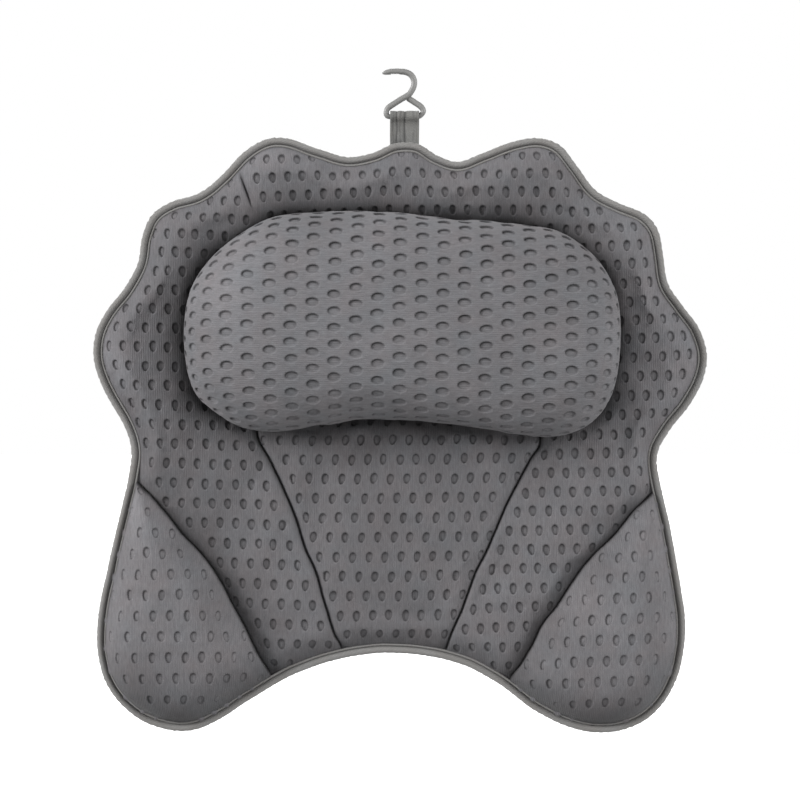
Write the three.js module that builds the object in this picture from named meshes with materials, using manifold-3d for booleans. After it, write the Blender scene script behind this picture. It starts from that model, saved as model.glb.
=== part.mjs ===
// Bath pillow: padded body with a head cushion, two puffed wings, edge binding,
// hanging strap and hook, and suction cups on tabs behind it.
// Millimetres. +Z up, +X right as seen from the front, the front faces -Y.
// Origin: centre of the plane of the suction cup rims (the wall that holds the pillow).
import * as THREE from 'three';
import { mergeVertices } from 'three/addons/utils/BufferGeometryUtils.js';
import Module from 'manifold-3d';

const wasm = await Module();
wasm.setup();
const { Manifold, Mesh: SolidMesh } = wasm;

// ---------------------------------------------------------------- dimensions
// Depths are distances from the wall plane towards the bather.
const GAP = 0.3;

// body outline at the outer edge of the binding, seen from the front: [x, z]
const BODY_OUTLINE = [
  [-4.1, 206.0], [-20.7, 199.1], [-38.5, 196.4], [-58.9, 202.5], [-79.9, 209.5], [-96.8, 208.5],
  [-112.0, 198.9], [-126.9, 183.1], [-142.3, 171.1], [-161.3, 165.1], [-175.5, 156.1], [-182.6, 141.1],
  [-185.9, 121.6], [-194.7, 104.5], [-208.4, 87.2], [-216.4, 68.8], [-216.7, 50.6], [-209.4, 30.9],
  [-196.4, 8.1], [-190.4, -10.5], [-193.0, -31.5], [-199.8, -60.7], [-207.6, -95.0], [-213.6, -125.4],
  [-214.7, -149.7], [-210.3, -170.5], [-200.4, -187.5], [-185.4, -200.2], [-167.2, -207.6], [-148.7, -208.8],
  [-130.4, -202.0], [-106.6, -187.1], [-81.7, -172.1], [-56.7, -161.9], [-30.3, -155.6], [-3.7, -154.1],
  [22.9, -156.9], [47.2, -163.8], [68.9, -175.6], [91.3, -192.5], [113.0, -204.3], [133.9, -209.9],
  [153.9, -208.9], [171.5, -202.0], [185.5, -188.9], [195.2, -171.0], [200.3, -148.7], [200.2, -123.9],
  [195.2, -93.4], [189.3, -60.3], [183.0, -33.4], [181.3, -13.7], [189.0, 2.4], [203.9, 21.5],
  [213.8, 40.5], [215.9, 58.1], [210.4, 75.8], [198.6, 91.8], [188.2, 107.7], [185.2, 127.3],
  [181.1, 145.2], [170.8, 157.0], [153.9, 163.9], [137.4, 173.0], [125.0, 189.2], [113.4, 203.6],
  [98.4, 209.6], [80.6, 207.7], [58.1, 199.5], [40.9, 193.1], [26.5, 197.2], [12.3, 205.3],
];
const OUTLINE_STEPS = 96;          // corners of the faceted outline

// sewn seams, [x, z]
const SEAM_CENTRE = [               // up the left seam, under the cushion, down the right seam
  [-35.4, -173.0], [-43.1, -149.2], [-47.4, -140.7], [-54.5, -118.1], [-60.8, -96.2], [-67.9, -80.6],
  [-74.3, -60.1], [-81.3, -42.4], [-92.6, -18.4], [-102.5, 2.1], [-96.0, 28.0], [-58.0, 46.0],
  [0.0, 52.0], [52.0, 44.0], [90.0, 24.0], [99.0, -2.8], [91.9, -17.0], [84.2, -31.1],
  [74.3, -50.2], [67.2, -67.2], [60.1, -83.4], [52.3, -99.0], [43.8, -122.3], [37.5, -136.5],
  [33.2, -148.5], [26.0, -173.0],
];
const SEAM_WING_LEFT = [
  [-209.4, -12.0], [-183.9, -36.8], [-177.5, -42.4], [-164.8, -57.3], [-154.9, -70.0], [-140.7, -84.9],
  [-128.7, -101.8], [-119.5, -119.5], [-110.3, -136.5], [-103.3, -151.3], [-95.5, -165.5], [-83.4, -187.4],
];
const SEAM_WING_RIGHT = [
  [199.0, -22.0], [173.3, -46.0], [165.5, -53.0], [156.3, -64.4], [149.2, -72.8], [137.9, -83.4],
  [129.4, -93.3], [120.2, -106.1], [110.3, -120.9], [100.4, -133.7], [93.4, -147.8], [85.6, -161.2],
  [79.9, -169.7], [66.0, -192.0],
];

// layers of the body
const BACK_START = 21.0, BACK_END = 23.4;        // rear fabric
const FLANGE_START = 23.7, FLANGE_END = 27.0;    // sewn edge of the front panels
const FOAM_START = 23.7, FOAM_END = 34.0;        // pad inside
const PANEL_FRONT = 37.6;                        // outer face of the front panels
const EDGE_INSET = 1.3;                          // fabric edges inside the binding
const DOME_INSET = 6.3;                          // where the padding starts to rise
const FOAM_INSET = 9.5;
const SHOULDER = 10.0;                           // rounded edge of the front panels
const FOAM_SHOULDER = 7.0;

// edge binding, a U of tape around all the fabric edges
const BIND_WIDTH = 6.0, BIND_WALL = 1.0;
const BIND_START = 19.8, BIND_END = 28.2;

// wings
const WING_FRONT = 60.0;
const WING_FABRIC = 3.3;
const WING_LEFT_CENTRE = [-160, -130];
const WING_RIGHT_CENTRE = [148, -133];

// head cushion: widest contour, [x, z]
const HEAD_CENTRE = [0.5, 76];
const HEAD_OUTLINE = [
  [-150.0, 73.1], [-147.2, 95.2], [-140.3, 111.1], [-128.6, 125.6], [-114.1, 137.4], [-94.0, 149.2],
  [-76.7, 153.3], [-54.6, 154.7], [-29.7, 155.4], [-3.5, 154.4], [28.4, 151.3], [57.4, 148.5],
  [86.4, 145.7], [104.4, 143.0], [118.9, 136.1], [133.5, 124.3], [143.1, 111.1], [149.4, 96.6],
  [151.4, 80.7], [151.4, 64.1], [150.0, 46.8], [146.6, 30.9], [138.9, 16.3], [127.2, 6.0],
  [112.7, 0.5], [98.1, -0.9], [80.8, 0.5], [57.4, 3.9], [28.4, 7.4], [-0.7, 10.2],
  [-29.7, 10.5], [-47.0, 7.4], [-65.0, 5.0], [-83.6, 2.9], [-99.5, 3.3], [-114.1, 7.4],
  [-128.6, 16.3], [-140.3, 26.7], [-146.5, 39.9], [-149.3, 57.2],
];
const HEAD_BACK = 38.0, HEAD_FRONT = 107.0;
const HEAD_FABRIC = 3.0;
const HEAD_BASE_END = 39.8;

// hanging strap: tape 20.8 wide, two layers
const STRAP_X = 2.6, STRAP_WIDTH = 20.8;
const STRAP_DEPTH = 18.2;                         // middle of the two layers
const STRAP_HALF = 1.0;                           // half of the thickness
const STRAP_BOTTOM = 178.0;
const STRAP_HINGE_Z = 208.0;
const BAR_Z = 227.6;                              // hook bar inside the fold
const LOOP_INNER = 2.9;

// hook
const HOOK_RADIUS = 1.85;
const HOOK_LAND = 6.0;                            // flat land under the top, length
const HOOK_TOP_Z = 259.75;                        // middle of the rod over the land

// suction cups, [x, z]
const CUPS = [
  [-95, 150], [95, 150], [-150, 42], [150, 42], [-135, -140], [132, -140],
];
const CUP_RADIUS = 28.0, CUP_RIM = 2.6, CUP_HOLLOW = 8.0;
const NECK_RADIUS = 3.8, KNOB_RADIUS = 6.8;
const TAB_WIDTH = 24.0, TAB_LENGTH = 68.0, TAB_T = 1.4;
const TAB_RAISED = 13.0, TAB_SEWN = 20.0;         // middle of the tape thickness
const TAB_HOLE = 5.5;
const CUP_SEGMENTS = 18;

// ------------------------------------------------------------------ materials
const mat = (color, roughness, metalness = 0, extra = {}) =>
  new THREE.MeshStandardMaterial({ color, roughness, metalness, flatShading: true, ...extra });

// --------------------------------------------------------------- shape helpers
// Everything is drawn in (u right, v up, depth from the wall); the group at the
// end turns that frame to X, Z, -Y.

function closedCurve(points) {
  return new THREE.CatmullRomCurve3(points.map(([x, z]) => new THREE.Vector3(x, z, 0)), true, 'catmullrom', 0.5);
}

const bodyCurve = closedCurve(BODY_OUTLINE);

// body outline moved inwards by a distance
function bodyOutline(inset, steps = OUTLINE_STEPS) {
  const out = [];
  for (let i = 0; i < steps; i++) {
    const p = bodyCurve.getPointAt(i / steps);
    const t = bodyCurve.getTangentAt(i / steps);
    out.push(new THREE.Vector2(p.x - t.y * inset, p.y + t.x * inset));
  }
  return out;
}

// open line moved sideways (to its left) by a distance
function offsetLine(points, distance) {
  return points.map(([x, y], i) => {
    const a = points[Math.max(i - 1, 0)], b = points[Math.min(i + 1, points.length - 1)];
    const dx = b[0] - a[0], dy = b[1] - a[1], l = Math.hypot(dx, dy);
    return [x - (dy / l) * distance, y + (dx / l) * distance];
  });
}

const v2 = (list) => list.map(([x, y]) => new THREE.Vector2(x, y));

function prism(points, from, to, holes = []) {
  const shape = new THREE.Shape(points);
  for (const h of holes) shape.holes.push(new THREE.Path(h));
  const g = new THREE.ExtrudeGeometry(shape, { depth: to - from, bevelEnabled: false, curveSegments: 16 });
  g.translate(0, 0, from);
  return g;
}

function box(x0, x1, y0, y1, z0, z1) {
  const g = new THREE.BoxGeometry(x1 - x0, y1 - y0, z1 - z0);
  g.translate((x0 + x1) / 2, (y0 + y1) / 2, (z0 + z1) / 2);
  return g;
}

// geometry to solid: shared corners merged, empty triangles dropped, faces out
function solid(geometry) {
  const g = geometry.clone();
  for (const name of Object.keys(g.attributes)) if (name !== 'position') g.deleteAttribute(name);
  const m = mergeVertices(g, 1e-4);
  const pos = m.attributes.position.array, idx = m.index.array;
  let tris = [];
  for (let i = 0; i < idx.length; i += 3) {
    const [a, b, c] = [idx[i], idx[i + 1], idx[i + 2]];
    if (a !== b && b !== c && c !== a) tris.push(a, b, c);
  }
  let vol = 0;
  for (let i = 0; i < tris.length; i += 3) {
    const [a, b, c] = [tris[i] * 3, tris[i + 1] * 3, tris[i + 2] * 3];
    vol += pos[a] * (pos[b + 1] * pos[c + 2] - pos[b + 2] * pos[c + 1])
      - pos[a + 1] * (pos[b] * pos[c + 2] - pos[b + 2] * pos[c])
      + pos[a + 2] * (pos[b] * pos[c + 1] - pos[b + 1] * pos[c]);
  }
  if (vol < 0) {
    for (let i = 0; i < tris.length; i += 3) [tris[i + 1], tris[i + 2]] = [tris[i + 2], tris[i + 1]];
  }
  return new Manifold(new SolidMesh({
    numProp: 3, vertProperties: new Float32Array(pos), triVerts: new Uint32Array(tris),
  }));
}

function geometryOf(s) {
  const m = s.getMesh();
  const g = new THREE.BufferGeometry();
  const p = new Float32Array((m.vertProperties.length / m.numProp) * 3);
  for (let i = 0, n = p.length / 3; i < n; i++) {
    for (let k = 0; k < 3; k++) p[i * 3 + k] = m.vertProperties[i * m.numProp + k];
  }
  g.setAttribute('position', new THREE.BufferAttribute(p, 3));
  g.setIndex(new THREE.BufferAttribute(new Uint32Array(m.triVerts), 1));
  g.computeVertexNormals();
  return g;
}

// pad with a rounded front edge: flat back at `from`, flat front at `to`
function pad(points, from, to, shoulder, segments) {
  const g = new THREE.ExtrudeGeometry(new THREE.Shape(points), {
    depth: to - from - shoulder + 6, bevelEnabled: true, bevelSegments: segments,
    bevelSize: shoulder, bevelThickness: shoulder, bevelOffset: -shoulder, steps: 1,
  });
  g.translate(0, 0, from - 6);
  return solid(g).subtract(solid(box(-400, 400, -400, 400, from - 60, from)));
}

// solid of revolution about the depth axis, its outline stretched to a contour.
// profile: [fraction of the contour, depth], from axis to axis
function dome(contour, centre, profile, shrink = 0) {
  const n = contour.length;
  const g = new THREE.LatheGeometry(v2(profile), n);
  const pos = g.attributes.position;
  for (let i = 0; i <= n; i++) {
    const p = contour[i % n];
    const dx = p.x - centre[0], dy = p.y - centre[1], r = Math.hypot(dx, dy);
    for (let j = 0; j < profile.length; j++) {
      const [s, d] = profile[j];
      const k = s < 1e-6 ? 0 : Math.max(s * r - shrink, 0.5) / r;
      pos.setXYZ(i * profile.length + j, centre[0] + dx * k, centre[1] + dy * k, d);
    }
  }
  return solid(g);
}

function rayHit(poly, c, ang) {
  const dx = Math.cos(ang), dy = Math.sin(ang);
  let best = Infinity;
  for (let i = 0; i < poly.length; i++) {
    const a = poly[i], b = poly[(i + 1) % poly.length];
    const ex = b.x - a.x, ey = b.y - a.y, det = dx * -ey + dy * ex;
    if (Math.abs(det) < 1e-12) continue;
    const ax = a.x - c[0], ay = a.y - c[1];
    const t = (ax * -ey + ay * ex) / det, u = (dx * ay - dy * ax) / det;
    if (t > 0 && u >= 0 && u <= 1 && t < best) best = t;
  }
  return best;
}

// contour inside both outlines, seen from a centre, with its corners kept
function commonContour(polyA, polyB, centre, n) {
  const fine = [];
  for (let i = 0; i < 1440; i++) {
    const ang = (i / 1440) * 2 * Math.PI;
    const a = rayHit(polyA, centre, ang), b = rayHit(polyB, centre, ang);
    const r = Math.min(a, b);
    fine.push({ x: centre[0] + r * Math.cos(ang), y: centre[1] + r * Math.sin(ang), which: a < b ? 0 : 1 });
  }
  const corners = [];
  fine.forEach((p, i) => { if (p.which !== fine[(i + 1) % 1440].which) corners.push(i); });
  const out = [];
  corners.forEach((c, k) => {
    const end = corners[(k + 1) % corners.length], span = (end - c + 1440) % 1440;
    const run = [];
    for (let i = 0; i <= span; i++) run.push(fine[(c + i) % 1440]);
    const len = [0];
    for (let i = 1; i < run.length; i++) len.push(len[i - 1] + Math.hypot(run[i].x - run[i - 1].x, run[i].y - run[i - 1].y));
    const total = len[len.length - 1];
    const count = run[1].which === 0 ? Math.round(n * 0.68) : Math.round(n * 0.32);
    for (let i = 0; i < count; i++) {
      const want = (total * i) / count;
      let j = 0;
      while (len[j + 1] < want) j++;
      out.push(new THREE.Vector2(run[j].x, run[j].y));
    }
  });
  return out;
}

// ------------------------------------------------------------------- assembly
const parts = new THREE.Group();
function add(name, s, material) {
  const mesh = new THREE.Mesh(s instanceof Manifold ? geometryOf(s) : s, material);
  mesh.name = name;
  parts.add(mesh);
  return mesh;
}

const meshFabric = () => mat(0x68666a, 0.9);
const cushionFabric = () => mat(0x78767a, 0.9);
const foam = () => mat(0xd8d4c8, 0.95);

// --- layers of the body
add('back_panel', solid(prism(bodyOutline(EDGE_INSET), BACK_START, BACK_END)), meshFabric());

const foamSolid = pad(bodyOutline(FOAM_INSET), FOAM_START, FOAM_END, FOAM_SHOULDER, 2);
const foamRoom = pad(bodyOutline(FOAM_INSET - GAP), FOAM_START - GAP, FOAM_END + GAP, FOAM_SHOULDER, 2);
add('base_foam', foamSolid, foam());

const flange = solid(prism(bodyOutline(EDGE_INSET), FLANGE_START, FLANGE_END));
const front = pad(bodyOutline(DOME_INSET), FLANGE_START, PANEL_FRONT, SHOULDER, 3).add(flange).subtract(foamRoom);

// region outlines cut through the whole thickness
const cut = (points) => solid(prism(v2(points), 10, 90));
const centreRegion = (d) => offsetLine(SEAM_CENTRE, d);
const leftRegion = (d) => [...offsetLine(SEAM_WING_LEFT, d), [-83.4, -240], [-260, -240], [-260, -12]];
const rightRegion = (d) => [...offsetLine(SEAM_WING_RIGHT, -d), [66, -240], [250, -240], [250, -22]];
const HALF = GAP / 2;

add('crown_panel', front.subtract(cut(centreRegion(HALF))).subtract(cut(leftRegion(HALF))).subtract(cut(rightRegion(HALF))), meshFabric());
add('centre_panel', front.intersect(cut(centreRegion(-HALF))), meshFabric());

const WING_PROFILE = [
  [0, WING_FRONT], [0.42, WING_FRONT - 1.8], [0.66, WING_FRONT - 6.5], [0.83, WING_FRONT - 13.5],
  [0.94, WING_FRONT - 21.5], [1, WING_FRONT - 30], [1, FLANGE_START], [0, FLANGE_START],
];
function wing(side, regionOf, centre) {
  const region = v2(regionOf(-HALF));
  const contour = commonContour(bodyOutline(DOME_INSET + GAP), region, centre, 34);
  const outer = dome(contour, centre, WING_PROFILE);
  const inner = WING_PROFILE.map(([s, d]) => [s, d > FLANGE_START ? d - WING_FABRIC : FLANGE_START - 2]);
  const room = dome(contour, centre, inner, WING_FABRIC);
  const fill = WING_PROFILE.map(([s, d]) => [s, d > FLANGE_START ? d - WING_FABRIC - GAP : FOAM_END + 2 * GAP]);
  const below = solid(box(-300, 300, -300, 300, 0, FOAM_END + 2 * GAP));
  const edge = flange.subtract(foamRoom).intersect(cut(regionOf(-HALF)));
  add(`wing_panel_${side}`, outer.add(edge).subtract(foamRoom).subtract(
    room.subtract(solid(box(-300, 300, -300, 300, 0, FOAM_END)))), meshFabric());
  add(`wing_foam_${side}`, dome(contour, centre, fill, WING_FABRIC + GAP).subtract(below), foam());
}
wing('left', leftRegion, WING_LEFT_CENTRE);
wing('right', rightRegion, WING_RIGHT_CENTRE);

// --- binding
const tape = solid(prism(bodyOutline(0), BIND_START, BIND_END, [bodyOutline(BIND_WIDTH)]))
  .subtract(solid(prism(bodyOutline(BIND_WALL), BACK_START - GAP, FLANGE_END + GAP)));
add('binding', tape, mat(0x7a7573, 0.85));

// --- head cushion
const headContour = (() => {
  const curve = closedCurve(HEAD_OUTLINE);
  return Array.from({ length: 44 }, (_, i) => { const p = curve.getPointAt(i / 44); return new THREE.Vector2(p.x, p.y); });
})();
const HEAD_PROFILE = [
  [0, HEAD_FRONT], [0.45, HEAD_FRONT - 2], [0.72, HEAD_FRONT - 8], [0.88, HEAD_FRONT - 17],
  [0.97, HEAD_FRONT - 29], [1, HEAD_FRONT - 42], [0.96, HEAD_BACK + 14], [0.88, HEAD_BACK], [0, HEAD_BACK],
];
const headRoomProfile = HEAD_PROFILE.map(([s, d]) => [s, d > 60 ? d - HEAD_FABRIC : d <= HEAD_BACK ? HEAD_BACK - 3 : d]);
const headFoamProfile = HEAD_PROFILE.map(([s, d]) => [s, d > 60 ? d - HEAD_FABRIC - GAP : d <= HEAD_BACK ? HEAD_BACK - 3 : d]);
add('head_cover', dome(headContour, HEAD_CENTRE, HEAD_PROFILE)
  .subtract(dome(headContour, HEAD_CENTRE, headRoomProfile, HEAD_FABRIC)), cushionFabric());
const baseSlab = solid(box(-300, 300, -300, 300, HEAD_BASE_END + GAP, 200));
add('head_foam', dome(headContour, HEAD_CENTRE, headFoamProfile, HEAD_FABRIC + GAP).intersect(baseSlab), foam());
add('head_base', dome(headContour, HEAD_CENTRE, headFoamProfile, HEAD_FABRIC + GAP)
  .intersect(solid(box(-300, 300, -300, 300, HEAD_BACK, HEAD_BASE_END))), mat(0x4c4b4f, 0.95));

// --- hanging strap
// side profile drawn in (depth, height) and extruded across the strap's width
function acrossStrap(profile) {
  const g = new THREE.ExtrudeGeometry(new THREE.Shape(v2(profile)), { depth: STRAP_WIDTH, bevelEnabled: false });
  // (depth, height, width) -> (u = width, v = height, depth)
  g.applyMatrix4(new THREE.Matrix4().set(0, 0, 1, STRAP_X - STRAP_WIDTH / 2, 0, 1, 0, 0, 1, 0, 0, 0, 0, 0, 0, 1));
  return solid(g);
}
const S0 = STRAP_DEPTH - STRAP_HALF, S1 = STRAP_DEPTH + STRAP_HALF;
const TAIL_TOP = STRAP_HINGE_Z - STRAP_HALF - GAP;
// the tail steps back to the rear fabric below the binding
add('strap_tail', acrossStrap([
  [S0, TAIL_TOP], [S0, 199.0], [BACK_START - GAP - 2, 193.5], [BACK_START - GAP - 2, STRAP_BOTTOM],
  [BACK_START - GAP, STRAP_BOTTOM], [BACK_START - GAP, 194.2], [S1, 199.6], [S1, TAIL_TOP],
]), mat(0x77767a, 0.85));
{
  const out = [], outer = LOOP_INNER + STRAP_HALF + 0.3;
  // rounded lower end about the fold line
  for (let i = 0; i <= 6; i++) {
    const a = Math.PI + (i / 6) * Math.PI;
    out.push([STRAP_DEPTH + STRAP_HALF * Math.cos(a), STRAP_HINGE_Z + STRAP_HALF * Math.sin(a)]);
  }
  // up one side, around the hook's bar and down the other side
  const a0 = Math.asin(STRAP_HALF / outer);
  for (let i = 0; i <= 16; i++) {
    const a = -Math.PI / 2 + a0 + (i / 16) * (2 * Math.PI - 2 * a0);
    out.push([STRAP_DEPTH + outer * Math.cos(a), BAR_Z + outer * Math.sin(a)]);
  }
  const loop = acrossStrap(out);
  const eye = new THREE.CylinderGeometry(LOOP_INNER, LOOP_INNER, STRAP_WIDTH + 4, 18);
  eye.rotateZ(Math.PI / 2);
  eye.translate(STRAP_X, BAR_Z, STRAP_DEPTH);
  add('strap_loop', loop.subtract(solid(eye)), mat(0x7b7a7d, 0.85));
}

// --- hook: one moulded rod with a closed eye below and an open hook above
{
  const D = STRAP_DEPTH;
  const path = new THREE.CatmullRomCurve3([
    [-12.0, 258.8, D], [-7.1, 259.7, D], [-0.7, 259.8, D], [3.9, 259.2, D], [7.4, 257.1, D], [9.3, 253.4, D],
    [9.1, 249.4, D], [7.4, 245.7, D], [5.0, 242.8, D], [0.0, 239.9, D], [-5.2, 236.6, D], [-9.1, 233.8, D],
    [-10.5, 231.1, D], [-10.2, 228.7, D], [-8.0, BAR_Z, D], [2.6, BAR_Z, D], [11.6, BAR_Z, D], [14.4, 228.9, D],
    [16.0, 231.5, D], [14.2, 234.7, D - 0.4], [9.9, 237.8, D - 1.1], [4.6, 241.2, D - 1.4],
  ].map(([x, y, z]) => new THREE.Vector3(x, y, z)), false, 'catmullrom', 0.5);
  const section = new THREE.Shape();
  const sides = 8;
  for (let i = 0; i < sides; i++) {
    const a = ((i + 0.5) / sides) * 2 * Math.PI, x = HOOK_RADIUS * Math.cos(a), y = HOOK_RADIUS * Math.sin(a);
    if (i === 0) section.moveTo(x, y); else section.lineTo(x, y);
  }
  const sweep = (from, to, steps) => {
    const sub = new THREE.CatmullRomCurve3(Array.from({ length: steps + 1 }, (_, i) =>
      path.getPointAt(from + ((to - from) * i) / steps)), false, 'catmullrom', 0.5);
    return new THREE.ExtrudeGeometry(section, { steps, bevelEnabled: false, extrudePath: sub });
  };
  const tip = new THREE.SphereGeometry(HOOK_RADIUS * 0.98, 8, 6);
  tip.scale(1.15, 1, 1);
  tip.translate(-12.0, 258.8, D);
  let hook = solid(sweep(0, 0.6, 30)).add(solid(sweep(0.59, 1, 20))).add(solid(tip));
  // flat land under the top, where it rests on a rail
  hook = hook.subtract(solid(box(-1.2 - HOOK_LAND, -1.2, 246, HOOK_TOP_Z - HOOK_RADIUS * 0.86, D - 4, D + 4)));
  add('hook', hook, mat(0x8d8c8a, 0.4));
}

// --- suction cups, tabs and eyelets
function turned(profile, segments) {
  const g = new THREE.LatheGeometry(v2(profile), segments);
  g.rotateX(Math.PI / 2);
  return solid(g);
}
const rimIn = CUP_RADIUS - CUP_RIM;
const CUP_PROFILE = [
  [0, CUP_HOLLOW], [10, CUP_HOLLOW * 0.84], [18, CUP_HOLLOW * 0.49], [23, CUP_HOLLOW * 0.18], [rimIn, 0],
  [CUP_RADIUS, 0], [CUP_RADIUS, 1.0], [23.5, 3.6], [16, 7.6], [8, 10.6], [NECK_RADIUS, 11.0],
  [NECK_RADIUS, 15.1], [KNOB_RADIUS, 15.4], [KNOB_RADIUS, 17.2], [4.2, 19.8], [0, 20.0],
];
const EYELET_PROFILE = [
  [4.3, 11.4], [7.8, 11.7], [7.8, 12.0], [5.2, 12.0], [5.2, 14.0], [7.8, 14.0], [7.8, 14.3], [4.3, 14.7], [4.3, 11.4],
];
const cupSolid = turned(CUP_PROFILE, CUP_SEGMENTS);
const eyeletSolid = turned(EYELET_PROFILE, 12);
const tabSolid = (() => {
  const h = TAB_T / 2, L = TAB_LENGTH / 2;
  const line = [[-L, TAB_SEWN], [-22, TAB_SEWN], [-12, TAB_RAISED], [12, TAB_RAISED], [22, TAB_SEWN], [L, TAB_SEWN]];
  const outline = [...line.map(([x, d]) => [x, d - h]), ...line.slice().reverse().map(([x, d]) => [x, d + h])];
  const g = new THREE.ExtrudeGeometry(new THREE.Shape(v2(outline)), { depth: TAB_WIDTH, bevelEnabled: false });
  // (x, depth, width) -> (u = x, v = width, depth)
  g.applyMatrix4(new THREE.Matrix4().set(1, 0, 0, 0, 0, 0, 1, -TAB_WIDTH / 2, 0, 1, 0, 0, 0, 0, 0, 1));
  const hole = new THREE.CylinderGeometry(TAB_HOLE, TAB_HOLE, 20, 16);
  hole.rotateX(Math.PI / 2);
  hole.translate(0, 0, TAB_RAISED);
  return solid(g).subtract(solid(hole));
})();
const cupGeometry = geometryOf(cupSolid), eyeletGeometry = geometryOf(eyeletSolid), tabGeometry = geometryOf(tabSolid);
CUPS.forEach(([x, z], i) => {
  add(`cup_tab_${i + 1}`, tabGeometry, mat(0x3b3a3d, 0.9)).position.set(x, z, 0);
  add(`eyelet_${i + 1}`, eyeletGeometry, mat(0xb9bbbd, 0.35, 0.6)).position.set(x, z, 0);
  add(`suction_cup_${i + 1}`, cupGeometry,
    mat(0xdfe6e8, 0.12, 0, { transparent: true, opacity: 0.45 })).position.set(x, z, 0);
});

// turn (right, up, depth) to +X, +Z, -Y
parts.rotation.x = Math.PI / 2;
const bathPillow = new THREE.Group();
bathPillow.add(parts);
export default bathPillow;
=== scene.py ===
import math

import bpy
import numpy as np
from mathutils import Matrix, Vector, kdtree
from mathutils.geometry import delaunay_2d_cdt


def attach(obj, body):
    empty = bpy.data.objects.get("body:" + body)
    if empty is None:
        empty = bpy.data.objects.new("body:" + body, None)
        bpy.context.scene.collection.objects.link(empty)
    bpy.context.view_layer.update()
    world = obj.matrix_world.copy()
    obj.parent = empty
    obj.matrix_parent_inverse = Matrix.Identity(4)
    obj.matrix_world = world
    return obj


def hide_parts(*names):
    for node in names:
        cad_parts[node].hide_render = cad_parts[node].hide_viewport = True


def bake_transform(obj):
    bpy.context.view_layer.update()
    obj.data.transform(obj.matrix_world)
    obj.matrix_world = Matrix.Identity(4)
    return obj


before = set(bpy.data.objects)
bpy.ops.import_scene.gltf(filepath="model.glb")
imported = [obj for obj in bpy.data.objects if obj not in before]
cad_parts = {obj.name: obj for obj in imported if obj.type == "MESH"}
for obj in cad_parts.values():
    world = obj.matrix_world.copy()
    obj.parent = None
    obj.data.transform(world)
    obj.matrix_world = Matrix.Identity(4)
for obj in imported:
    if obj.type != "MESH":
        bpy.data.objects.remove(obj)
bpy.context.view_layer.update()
MM = 0.001

# ============================================================ camera, light, floor
# The picture plane of the photo is 35 mm in front of the wall plane.
PX = 0.7072                                   # millimetres per photo pixel on that plane
CAM_X, CAM_Z, CAM_DIST, PLANE = -0.7, 24.75, 1420.0, 35.0

scene = bpy.context.scene
scene.view_settings.view_transform = "Standard"
scene.view_settings.look = "None"

cam_data = bpy.data.cameras.new("camera")
cam = bpy.data.objects.new("camera", cam_data)
scene.collection.objects.link(cam)
scene.camera = cam
cam_data.sensor_width = 36.0
cam_data.lens = 36.0 * CAM_DIST / (800 * PX)
cam_data.clip_end = 50.0
cam.location = (CAM_X * MM, -(CAM_DIST + PLANE) * MM, CAM_Z * MM)
cam.rotation_euler = (math.radians(90), 0, 0)

world = bpy.data.worlds.new("world")
scene.world = world
world.use_nodes = True
world.node_tree.nodes["Background"].inputs["Color"].default_value = (1.0, 1.0, 1.0, 1)
world.node_tree.nodes["Background"].inputs["Strength"].default_value = 1.0

def sun(name, direction, energy, angle):
    data = bpy.data.lights.new(name, "SUN")
    data.energy = energy
    data.angle = math.radians(angle)
    o = bpy.data.objects.new(name, data)
    o.rotation_euler = Vector(direction).to_track_quat("-Z", "Y").to_euler()
    scene.collection.objects.link(o)


sun("key", (0.92, 0.42, -0.34), 9.0, 22)
sun("fill", (-0.92, 0.42, -0.27), 7.3, 46)
sun("front", (0.05, 0.88, -0.38), 1.4, 70)
sun("rear", (0.25, -0.92, -0.30), 4.5, 60)

# ================================================================= shared dimensions
# millimetres; points are [x, z]; depth is the distance from the wall plane
BODY_OUTLINE = [
    [-4.1, 206.0], [-20.7, 199.1], [-38.5, 196.4], [-58.9, 202.5], [-79.9, 209.5], [-96.8, 208.5],
    [-112.0, 198.9], [-126.9, 183.1], [-142.3, 171.1], [-161.3, 165.1], [-175.5, 156.1], [-182.6, 141.1],
    [-185.9, 121.6], [-194.7, 104.5], [-208.4, 87.2], [-216.4, 68.8], [-216.7, 50.6], [-209.4, 30.9],
    [-196.4, 8.1], [-190.4, -10.5], [-193.0, -31.5], [-199.8, -60.7], [-207.6, -95.0], [-213.6, -125.4],
    [-214.7, -149.7], [-210.3, -170.5], [-200.4, -187.5], [-185.4, -200.2], [-167.2, -207.6], [-148.7, -208.8],
    [-130.4, -202.0], [-106.6, -187.1], [-81.7, -172.1], [-56.7, -161.9], [-30.3, -155.6], [-3.7, -154.1],
    [22.9, -156.9], [47.2, -163.8], [68.9, -175.6], [91.3, -192.5], [113.0, -204.3], [133.9, -209.9],
    [153.9, -208.9], [171.5, -202.0], [185.5, -188.9], [195.2, -171.0], [200.3, -148.7], [200.2, -123.9],
    [195.2, -93.4], [189.3, -60.3], [183.0, -33.4], [181.3, -13.7], [189.0, 2.4], [203.9, 21.5],
    [213.8, 40.5], [215.9, 58.1], [210.4, 75.8], [198.6, 91.8], [188.2, 107.7], [185.2, 127.3],
    [181.1, 145.2], [170.8, 157.0], [153.9, 163.9], [137.4, 173.0], [125.0, 189.2], [113.4, 203.6],
    [98.4, 209.6], [80.6, 207.7], [58.1, 199.5], [40.9, 193.1], [26.5, 197.2], [12.3, 205.3],
]
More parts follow.
